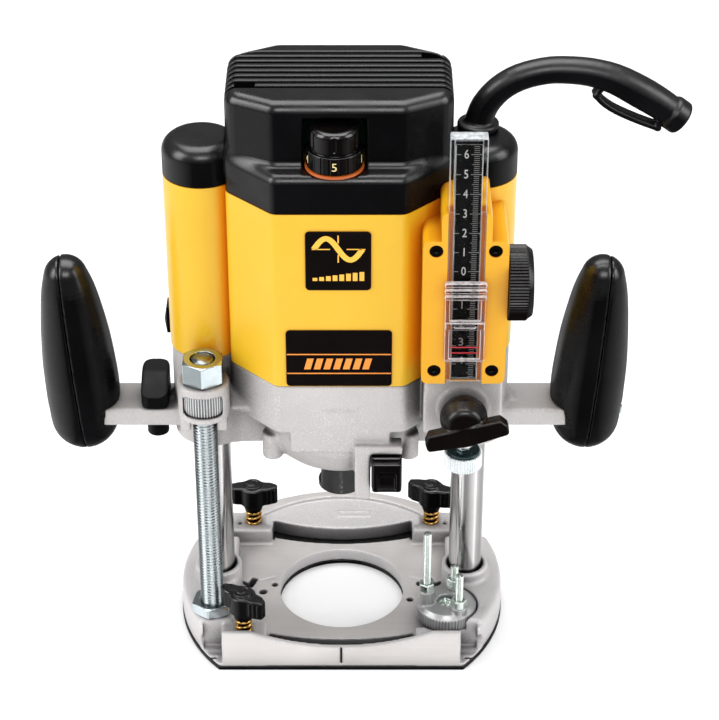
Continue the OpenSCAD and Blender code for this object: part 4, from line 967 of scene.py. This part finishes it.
BOOT = [(64.8, 6, 279, 6.8), (67.7, 6, 288, 6.5), (74.4, 6, 296.6, 6.3), (83.5, 6, 302.4, 6.3),
        (94.8, 6, 305.6, 6.3), (104, 6, 306.1, 6.4), (115.6, 6, 305, 6.6), (127.4, 6, 301.5, 7.1),
        (139.4, 6, 295, 7.6), (149, 6, 289, 7.4), (156.5, 6, 283.5, 7.0)]  # x, y, z and radius


def cable_boot():
    f = Field((53, -5, 272.5), (167, 17, 314.5), 0.55)
    path = spline(BOOT, 3)
    f.add(rope(path[:, :3], path[:, 3]))
    f.add(cyl("z", 64.8, 6, 9.8, 276.1, 280, 1.2), 2.0)
    f.cut(box(40, 90, -20, 30, 260, 276.1))
    end = np.array(BOOT[-1][:3], float)
    way = end - np.array(BOOT[-2][:3], float)
    way /= np.linalg.norm(way)
    collar = cyl("z", end[0], end[1], 8.3, end[2] - 3.4, end[2] + 4.6, 1.8)
    f.add(turned(collar, "y", math.degrees(math.atan2(way[0], way[2])), end), 1.2)
    f.cut(rope([end + way * 6, end + way * 14], 4.6), 0.5)
    sculpted("cable_boot_moulded", f, "carriage", rubber, "rubber", "cable_boot")


def cable_clip():
    f = Field((114, 0, 273), (155, 12, 302), 0.42)
    spine = spline([(118.9, 6, 294.2), (122.5, 6, 290.3), (128.4, 6, 286.2), (138.9, 6, 281.2),
                    (148.9, 6, 277.3)], 3)
    for y in (3.6, 6.0, 8.4):
        f.add(rope([(x, y, z) for x, _, z in spine], 1.5), 0.6)
    for y in (4, 8):
        f.add(rope([(118.9, y, 294), (121.2, y, 297.6)], [1.5, 1.7]), 0.8)
        f.add(rope([(148.4, y, 277.6), (149, y, 281)], [1.6, 1.7]), 0.8)
    f.cut(rope([(x + 0.6, 6, z + 1.6) for x, _, z in spine[3:-2]], 0.7), 0.3)
    sculpted("cable_clip_moulded", f, "carriage", rubber, "rubber", "cable_clip")


cable_boot()
cable_clip()


# ---------- springs and threads ----------

def plain_mesh(name, verts, faces, smooth=True):
    """Object from points in mm and faces of any number of corners."""
    mesh = bpy.data.meshes.new(name)
    mesh.from_pydata([tuple(MM * c for c in v) for v in verts], [], faces)
    mesh.update()
    mesh.polygons.foreach_set("use_smooth", [smooth] * len(mesh.polygons))
    return in_scene(name, mesh)


def tube_faces(start, rows, sides):
    """Faces round a tube of so many rings of points, with both ends closed."""
    faces = []
    last = start + (rows - 1) * sides
    for a in range(start, last, sides):
        b = a + sides
        faces += [(a + j, a + (j + 1) % sides, b + (j + 1) % sides, b + j) for j in range(sides)]
    return faces + [tuple(start + j for j in reversed(range(sides))), tuple(last + j for j in range(sides))]


def coil(x, y, r, low, high, turns, steps=28):
    """Helix whose end turns lie flat, as a pressed spring's do."""
    total = turns + 1.5
    t = np.linspace(0, 1, int(total * steps))
    climb = np.clip((t * total - 0.75) / turns, 0, 1)
    a = 2 * math.pi * total * t
    return np.stack([x + r * np.cos(a), y + r * np.sin(a), low + (high - low) * climb], 1)


def springs(name, paths, wire, material, slot, node, sides=8):
    """Round wires swept along paths, as one piece on the base."""
    verts, faces = [], []
    turn = np.linspace(0, 2 * math.pi, sides, endpoint=False)[None, :, None]
    for pts in paths:
        along = np.gradient(pts, axis=0)
        along /= np.linalg.norm(along, axis=1)[:, None]
        across = np.cross(along, (0.0, 0.0, 1.0))
        across /= np.linalg.norm(across, axis=1)[:, None]
        over = np.cross(across, along)
        ring = pts[:, None] + wire * (np.cos(turn) * across[:, None] + np.sin(turn) * over[:, None])
        faces += tube_faces(len(verts), len(pts), sides)
        verts += [tuple(p) for p in ring.reshape(-1, 3)]
    return settle(plain_mesh(name, verts, faces), "base", material, slot, node)


SPRING_FOOT = 10.2
springs("clamp_springs_wound", [coil(x, y, 3.7, 18.85, 25.3, 1.9) for x, y in CLAMPS.values()], 0.75, brass,
        "brass", "clamp_springs")
coils = [coil(s * COLUMN_X, 0, 5.6, SPRING_FOOT, 271, 16) for s in (-1, 1)]
column_springs = springs("column_springs_wound", coils, 0.7, spring_steel, "steel", "column_springs")
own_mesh(column_springs)


def threaded(name, x, y, low, high, r, pitch, body, node, material, steps, sides, cut):
    """Bolt with a helical thread of rounded V shape, chamfered at both ends."""
    a = np.linspace(0, 2 * math.pi, sides, endpoint=False)
    heights = np.append(np.arange(low, high, pitch / steps), high)
    verts = []
    for z in heights:
        phase = (z / pitch - a / (2 * math.pi)) % 1
        groove = np.clip((abs(phase - 0.5) * 2 - 0.16) / 0.66, 0, 1)
        lead = min(1.0, (z - low) / pitch, (high - z) / pitch)
        reach = r - cut * pitch * np.maximum(groove, 1 - lead)
        verts += zip(x + reach * np.cos(a), y + reach * np.sin(a), z + 0 * a)
    settle(plain_mesh(name, verts, tube_faces(0, len(heights), sides)), body, material, "zinc", node)


def bolt_at(direction):
    """Place of a stop bolt on the turret."""
    a = math.radians(direction)
    return TURRET[0] + BOLT_RING * math.cos(a), TURRET[1] + BOLT_RING * math.sin(a)


threaded("height_screw_threaded", *SCREW, 8.1, 171.8, 5.98, 1.75, "base", "height_screw", thread_zinc,
         7, 36, 0.42)
for level, (direction, _, low, high) in BOLTS.items():
    threaded(f"stop_bolt_{level}_threaded", *bolt_at(direction), low + 0.1, high, 2.08, 0.75,
             f"{level}_stop", f"stop_bolt_{level}", zinc_green, 6, 24, 0.25)


# ---------- nuts, wheels and knurled parts ----------

def hexagon(x, y, across, turn):
    r = across / math.sqrt(3)
    return [(x + r * math.cos(math.radians(60 * i + turn)), y + r * math.sin(math.radians(60 * i + turn)))
            for i in range(6)]


def hex_nut(f, x, y, low, high, across, bore, turn):
    """Hexagon whose corners are chamfered above and below, with a countersunk hole."""
    half, tip = across / 2, across / math.sqrt(3)
    rise = (tip - half) * 0.62
    face, rim = half * 0.97, tip + 0.3
    cone = [(0, low), (face, low), (rim, low + rise), (rim, high - rise), (face, high), (0, high)]
    f.add(meet(prism("z", hexagon(x, y, across, turn), low, high), revolve("z", x, y, cone)))
    f.cut(cyl("z", x, y, bore, low - 5, high + 5), 0.3)


def nuts():
    nut_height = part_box("turret_lock_nuts")[1][2] / MM - BOLTS["high"][1]
    f = Field((-78, -43, 159), (-54, -19, 173), 0.3)
    hex_nut(f, *SCREW, 160.15, 172, 19, 6.1, 30)
    sculpted("return_stop_nut_forged", f, "return_stop", zinc, "zinc", "return_stop_nut")
    f = Field((-78, -43, 19), (-54, -19, 28), 0.3)
    hex_nut(f, *SCREW, 20.05, 26.4, 19, 6.15, 20)
    sculpted("height_screw_nut_forged", f, "base", zinc, "zinc", "height_screw_nut")
    fields = []
    for i, (direction, boss, *_) in enumerate(BOLTS.values()):
        x, y = bolt_at(direction)
        f = Field((x - 5, y - 5, boss - 0.8), (x + 5, y + 5, boss + 4.4), 0.2)
        hex_nut(f, x, y, boss + 0.03, boss + nut_height, 7.2, 2.14, 15 * i)
        fields.append(f)
    sculpted("turret_lock_nuts_forged", fields, "turret", zinc_green, "zinc", "turret_lock_nuts")


def wheel(axis, u, v, mean, swing, count, low, high, r):
    """Cylinder whose side rises and falls count times round it: teeth, or straight knurling."""
    i, j, k = AXES[axis]

    def f(*p):
        angle = np.arctan2(p[j] - v, p[i] - u)
        d = np.sqrt((p[i] - u) ** 2 + (p[j] - v) ** 2) - mean - swing * np.cos(count * angle)
        return slab(d, p[k] - (low + high) / 2, (high - low) / 2, r)
    return f, *cyl(axis, u, v, mean + swing, low, high)[1:]


def depth_knob():
    y, z = KNOB
    f = Field((54.6, y - 19, z - 19), (90.2, y + 19, z + 19), 0.36)
    f.add(wheel("x", y, z, 17.4, 0.42, 72, 77.7, 86.6, 0.5))
    f.add(revolve("x", y, z, [(0, 78), (17.0, 78), (17.0, 86.9, 0.8), (15.4, 89.15, 0.8), (0, 89.15)]))
    f.cut(cyl("x", y, z, 12.5, 88.3, 95, 0.4), 0.3)
    f.add(cyl("x", y, z, 5.2, 85, 89.0, 0.5), 0.4)
    f.add(cyl("x", y, z, 3, 55.6, 79))
    f.add(wheel("x", y, z, 4.3, 0.7, 12, 55.6, 64.4, 0.2))
    sculpted("depth_knob_knurled", f, "knob", knob_brown, "gloss_black", "depth_knob")


def turret():
    x, y = TURRET
    f = Field((37.6, -44, 12.8), (70.4, -11, 31.4), 0.27)
    f.add(wheel("z", x, y, 15.05, 0.5, 60, 13.65, 19.9, 0.3))
    f.add(revolve("z", x, y, [(0, 15), (14.7, 15), (14.7, 19.9, 0.3), (12.6, 22.2, 0.5), (0, 22.2)]))
    for direction, boss, *_ in BOLTS.values():
        f.add(cyl("z", *bolt_at(direction), 4.15, 14, boss, 0.35), 0.9)
        f.cut(cyl("z", *bolt_at(direction), 2.2, 15.6, 60), 0.2)
    f.cut(cyl("z", x, y, 2.55, 0, 60))
    f.cut(cyl("z", x, y, 5.0, 19.3, 60), 0.3)
    sculpted("turret_disc_cast", f, "turret", zinc_grey, "zinc", "turret_disc")
    f = Field((x - 5, y - 5, 3.4), (x + 5, y + 5, 22.4), 0.2)
    f.add(cyl("z", x, y, 2.4, 4.3, 20, 0.3))
    f.add(revolve("z", x, y, [(0, 19.4), (4.3, 19.4, 0.2), (4.3, 20.4, 0.6), (2.6, 21.6, 1), (0, 21.7)]))
    for turn in (12, 102):
        f.cut(turned(box(x - 2.7, x + 2.7, y - 0.5, y + 0.5, 20.2, 23, 0.1), "z", turn, (x, y, 0)), 0.15)
    sculpted("turret_screw_cross_head", f, "base", zinc_green, "zinc", "turret_screw")


def depth_foot():
    x, y = ROD
    f = Field((49.4, -46.7, 112.6), (70.7, -25.4, 125.4), 0.22)
    f.add(wheel("z", x, y, 9.0, 0.45, 44, 113.4, 121.5, 0.5))
    f.cut(cyl("z", x, y, 2.65, 110, 127), 0.2)
    sculpted("depth_foot_knurled", f, "foot", foot_zinc, "zinc", "depth_foot")
    f = Field((51.5, -44.5, 121), (68.5, -27.5, 123.6), 0.22)
    f.add(cyl("z", x, y, 8.1, 121.55, 122.9, 0.4))
    f.cut(cyl("z", x, y, 2.65, 110, 127), 0.2)
    sculpted("depth_foot_washer", f, "foot", foot_dark, "zinc")
    f = Field((56, -40, 114), (64, -32, 125.4), 0.22)
    f.add(cyl("z", x, y, 2.55, 114.6, 124.8, 0.3))
    f.add(prism("z", hexagon(x, y, 6.4, 20), 122.92, 124.4, 0.3))
    sculpted("depth_foot_screw", f, "foot", zinc, "zinc")


def fine_ring():
    f = Field((-77.6, -42.6, 143.7), (-54.4, -19.4, 156.5), 0.25)
    f.add(wheel("z", *SCREW, 10.75, 0.5, 50, 144.35, 155.85, 0.5))
    f.cut(cyl("z", *SCREW, 6.2, 140, 160), 0.4)
    sculpted("fine_adjust_ring_knurled", f, "fine_ring", knurled_zinc, "zinc", "fine_adjust_ring")


nuts()
depth_knob()
turret()
depth_foot()
fine_ring()


# ---------- prints and numbers ----------

PRINT = 0.12  # how thick numbers and label prints stand


def bar(x0, x1, z0, z1, front, thick=PRINT, slant=0.0):
    """Flat printed bar facing the front; slant leans its top to the right."""
    verts = [(x0, front, z0), (x1, front, z0), (x1 + slant, front, z1), (x0 + slant, front, z1)]
    verts += [(x, y + thick, z) for x, y, z in verts]
    return verts, [(0, 1, 2, 3), (7, 6, 5, 4), (0, 4, 5, 1), (1, 5, 6, 2), (2, 6, 7, 3), (3, 7, 4, 0)]


def number(text, size, place, tilt=(90, 0), narrow=1.0):
    """Number as a thin raised solid, its middle at place, turned by tilt in degrees about x, then z."""
    curve = bpy.data.curves.new(text, "FONT")
    curve.body, curve.size, curve.extrude = text, size * MM, PRINT * MM / 2
    curve.align_x, curve.align_y = "CENTER", "CENTER"
    curve.resolution_u = 6
    holder = in_scene(text, curve)
    bpy.context.view_layer.update()
    mesh = bpy.data.meshes.new_from_object(holder.evaluated_get(bpy.context.evaluated_depsgraph_get()))
    bpy.data.objects.remove(holder)
    spin = Matrix.Rotation(math.radians(tilt[1]), 4, "Z") @ Matrix.Rotation(math.radians(tilt[0]), 4, "X")
    mesh.transform(Matrix.Translation(Vector(place) * MM) @ spin @ Matrix.Diagonal((narrow, 1, 1, 1)))
    return [tuple(v.co / MM) for v in mesh.vertices], [tuple(p.vertices) for p in mesh.polygons]


def printed(name, shapes, body, material, slot):
    """One piece from several small prints."""
    verts, faces = [], []
    for v, f in shapes:
        faces += [tuple(len(verts) + i for i in q) for q in f]
        verts += v
    settle(plain_mesh(name, verts, faces, False), body, material, slot)


def speed_dial():
    x, y = DIAL
    f = Field((-15.8, -46.8, 269.4), (11.8, -19.2, 298.6), 0.3)
    middles = [math.radians(-81 + 18 * i) for i in range(20)]
    facets = [(x + 13 * math.cos(a), y + 13 * math.sin(a)) for a in middles]
    f.add(prism("z", facets, 278.1, 286.8, 0.4))
    for u, v in facets:
        f.cut(cyl("z", u, v, 0.4, 277, 288), 0.2)
    f.add(revolve("z", x, y, [(0, 285), (11.5, 285), (11.5, 297.75, 3), (0, 297.75)]), 0.1)
    groove = less(cyl("z", x, y, 30, 286.7, 287.4), cyl("z", x, y, 11.0, 0, 600))[0]
    f.cut((groove, (-16, -47, 286.7), (12, -19, 287.4)), 0.2)
    for i in range(6):
        a = math.radians(-90 + 60 * i)
        f.cut(cyl("z", x + 12.4 * math.cos(a), y + 12.4 * math.sin(a), 1.35, 289, 296, 0.6), 0.6)
    f.cut(cyl("z", x, y, 8.0, 297.4, 303), 0.5)
    f.add(cyl("z", x, y, 4, 269.8, 281))
    sculpted("speed_dial_moulded", f, "dial", gloss, "gloss_black", "speed_dial")
    marks = []
    reach = 13 * math.cos(math.radians(9)) + 0.02  # the middle of a facet
    for i, text in enumerate("51234"):
        a = math.radians(-90 + 72 * i)
        place = (x + reach * math.cos(a), y + reach * math.sin(a), 282.3)
        marks.append(number(text, 5.8, place, (90, math.degrees(a) + 90)))
    printed("speed_dial_numbers", marks, "dial", ink_cream, "gloss_black")


def wave_stroke(front, cx, cz, half, height, width):
    """Thick sine stroke whose ends are cut level with the middle line."""
    xs = np.linspace(-half, half, 49)
    n = len(xs)
    verts, faces = [], []
    for layer in (front, front + PRINT):
        for side in (-1, 1):
            for x in xs:
                z = -height * math.sin(math.pi * x / half)
                slope = -height * math.pi / half * math.cos(math.pi * x / half)
                norm = math.hypot(1, slope)
                pz = z + width / 2 / norm * side
                pz = max(pz, -0.25) if x < -0.55 * half else min(pz, 0.25) if x > 0.55 * half else pz
                verts.append((cx + x - slope / norm * width / 2 * side, layer, cz + pz))
    for a in range(n - 1):
        b, c, d = a + n, a + 2 * n, a + 3 * n
        faces += [(a, a + 1, b + 1, b), (d, d + 1, c + 1, c), (a, c, c + 1, a + 1), (b, b + 1, d + 1, d)]
    return verts, faces + [(0, n, 3 * n, 2 * n), (n - 1, 3 * n - 1, 4 * n - 1, 2 * n - 1)]


def label_prints():
    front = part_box("front_labels")[0][1] / MM - 0.1
    wave = [wave_stroke(front, -0.5, 239.4, 11.2, 5.6, 2.7)]
    wave += [bar(*spot, front) for spot in ((-12.6, -4.2, 239.1, 239.6), (3.4, 12.0, 239.1, 239.6),
                                            (-0.8, -0.2, 242.6, 246.6), (-0.8, -0.2, 232.4, 236.4))]
    wave += [bar(-12.4 + 3.1 * i, -10.2 + 3.1 * i, 222.6, 224.2 + 0.45 * i, front) for i in range(8)]
    printed("upper_label_wave_print", wave, "carriage", ink_yellow, "label")
    lines = [bar(-25, 24.3, z, z + 0.6, front) for z in (182.0, 171.4)]
    lines += [bar(-17 + 4.6 * i, -13.9 + 4.6 * i, 174.0, 180.0, front, slant=1.6) for i in range(7)]
    printed("lower_label_line_print", lines, "carriage", ink_orange, "label")


def depth_scale():
    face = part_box("scale_strip")[0][1] / MM
    ticks = []
    for n in range(-57, 65):
        z = SCALE_ZERO + n
        ten = n % 10 == 0
        half = 0.16 if ten else 0.12
        if ten:
            ticks.append(bar(52.2, 54.4, z - half, z + half, face - 0.08, 0.1))
        left = 58.9 if ten else 59.5 if n % 5 == 0 else 60.2
        if 175.5 < z < 299:
            ticks.append(bar(left, 63.8 if ten else 62.6, z - half, z + half, face - 0.08, 0.1))
    printed("scale_ticks_print", ticks, "carriage", ink_grey, "label")
    upper = [number(str(n), 6.2, (56.8, face - 0.06, SCALE_ZERO + 10 * n), narrow=0.74) for n in range(7)]
    printed("scale_numbers_print", upper, "carriage", ink_white, "label")
    lower = [number(str(n), 6.0, (56.5, face - 0.06, SCALE_ZERO - 8 - 10 * n)) for n in range(1, 5)]
    printed("scale_lower_numbers_print", lower, "carriage", ink_grey, "label")


def scale_cover():
    """Clear channel over the scale: a thin window between two bright moulded rims and a bright top."""
    front = -55.0
    f = Field((48.8, -55.6, 173.4), (67.2, -46.2, 302), 0.36)
    f.add(box(49.55, 66.45, front, front + 2.5, 174, 265, 0.5))
    f.add(box(49.55, 66.45, front, front + 7.9, 263.5, 301.4, 0.7))
    f.cut(box(51.7, 64.3, front + 1.1, front + 12, 170, 300.2, 0.3))
    f.cut(box(52.0, 64.0, front - 1, front + 0.45, 176, 298.8, 0.3), 0.2)
    sculpted("scale_cover_moulded", f, "carriage", clear_rims, "clear_plastic", "scale_cover")


def scale_cursor():
    f = Field((47.6, -59.8, 185), (68.4, -54.6, 231), 0.33)
    f.add(box(48.7, 67.3, -57.1, -55.2, 186.3, 229.2, 0.4))
    for low, high in ((187.8, 203.6), (208.6, 219.6)):
        f.cut(box(50.7, 65.3, -60, -56.0, low, high, 0.3), 0.3)
    for z in (221.6, 225, 228.4):
        f.add(box(48.3, 67.7, -58.9, -56.6, z - 1.0, z + 1.0, 0.7), 0.3)
    f.add(box(49, 67, -58.3, -56.5, 204.2, 207.9, 0.6), 0.3)
    f.cut(box(53, 63, -60, -57.4, 205.4, 206.7, 0.3), 0.3)
    sculpted("scale_cursor_moulded", f, "cursor", cursor_clear, "clear_plastic", "scale_cursor")
    hair = [bar(51.0, 65.0, z, z + 0.45, -56.16, 0.08) for z in (190.6, 193.6)]
    printed("scale_cursor_hairlines", hair, "cursor", red_line, "clear_plastic")


speed_dial()
label_prints()
depth_scale()
# painted shade: a black strip over the centre notch in the front wall
printed("base_centre_notch_painted_shade", [bar(-0.4, 0.4, 4.5, 14.5, WALL_FRONT - 0.08, 0.2)], "base", strip_black,
        "cast_metal")
scale_cover()
scale_cursor()


# ---------- studio ----------

def studio():
    scene = bpy.context.scene
    scene.view_settings.view_transform = "Standard"
    bpy.ops.mesh.primitive_plane_add(size=8, location=(0, 0, -0.0002))
    floor = bpy.context.object
    floor.name = "studio_floor"
    g = Graph("pale_floor")
    g.set("Base Color", g.mix(g.spread(g.noise(3.0), 0, 1), 0.93, 0.91))
    g.set("Roughness", 0.9)
    g.set("Specular IOR Level", 0.1)
    g.set("Emission Color", 1)
    g.set("Emission Strength", 0.10)
    floor.data.materials.append(g.mat)
    floor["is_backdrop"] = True
    # white world: bright to the camera, dimmer as a light, dimmest in reflections
    scene.world = bpy.data.worlds.new("studio_world")
    scene.world.use_nodes = True
    tree = scene.world.node_tree
    back = tree.nodes["Background"]
    back.inputs["Color"].default_value = (1, 1, 1, 1)
    rays = tree.nodes.new("ShaderNodeLightPath")
    soft, level = tree.nodes.new("ShaderNodeMapRange"), tree.nodes.new("ShaderNodeMapRange")
    soft.inputs["To Min"].default_value, soft.inputs["To Max"].default_value = 0.50, 0.22
    level.inputs["To Max"].default_value = 1.1
    tree.links.new(rays.outputs["Is Glossy Ray"], soft.inputs["Value"])
    tree.links.new(soft.outputs[0], level.inputs["To Min"])
    tree.links.new(rays.outputs["Is Camera Ray"], level.inputs["Value"])
    tree.links.new(level.outputs[0], back.inputs["Strength"])
    for name, place, size, power in (
            ("top_softbox", (0.0, 0.25, 1.5), (1.4, 1.0), 16),
            ("left_softbox", (-1.3, -0.5, 0.8), (0.7, 1.2), 11),
            ("right_softbox", (1.3, -0.4, 0.7), (0.7, 1.2), 9),
            ("front_softbox", (0.1, -1.7, 1.5), (1.2, 0.8), 12)):
        lamp = bpy.data.lights.new(name, "AREA")
        lamp.shape, lamp.size, lamp.size_y, lamp.energy = "RECTANGLE", *size, power
        obj = in_scene(name, lamp)
        obj.location = place
        obj.rotation_mode = "QUATERNION"
        obj.rotation_quaternion = (Vector((0, 0, 0.15)) - Vector(place)).to_track_quat("-Z", "Y")
    cam = bpy.data.cameras.new("photo_camera")
    cam.lens, cam.sensor_width, cam.clip_start, cam.clip_end = 116.5, 36, 0.05, 20
    scene.camera = in_scene("photo_camera", cam)
    scene.camera.location = (0.0093, -0.9728, 0.7709)
    scene.camera.rotation_euler = (math.radians(57.5), 0, 0)


studio()
low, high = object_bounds()
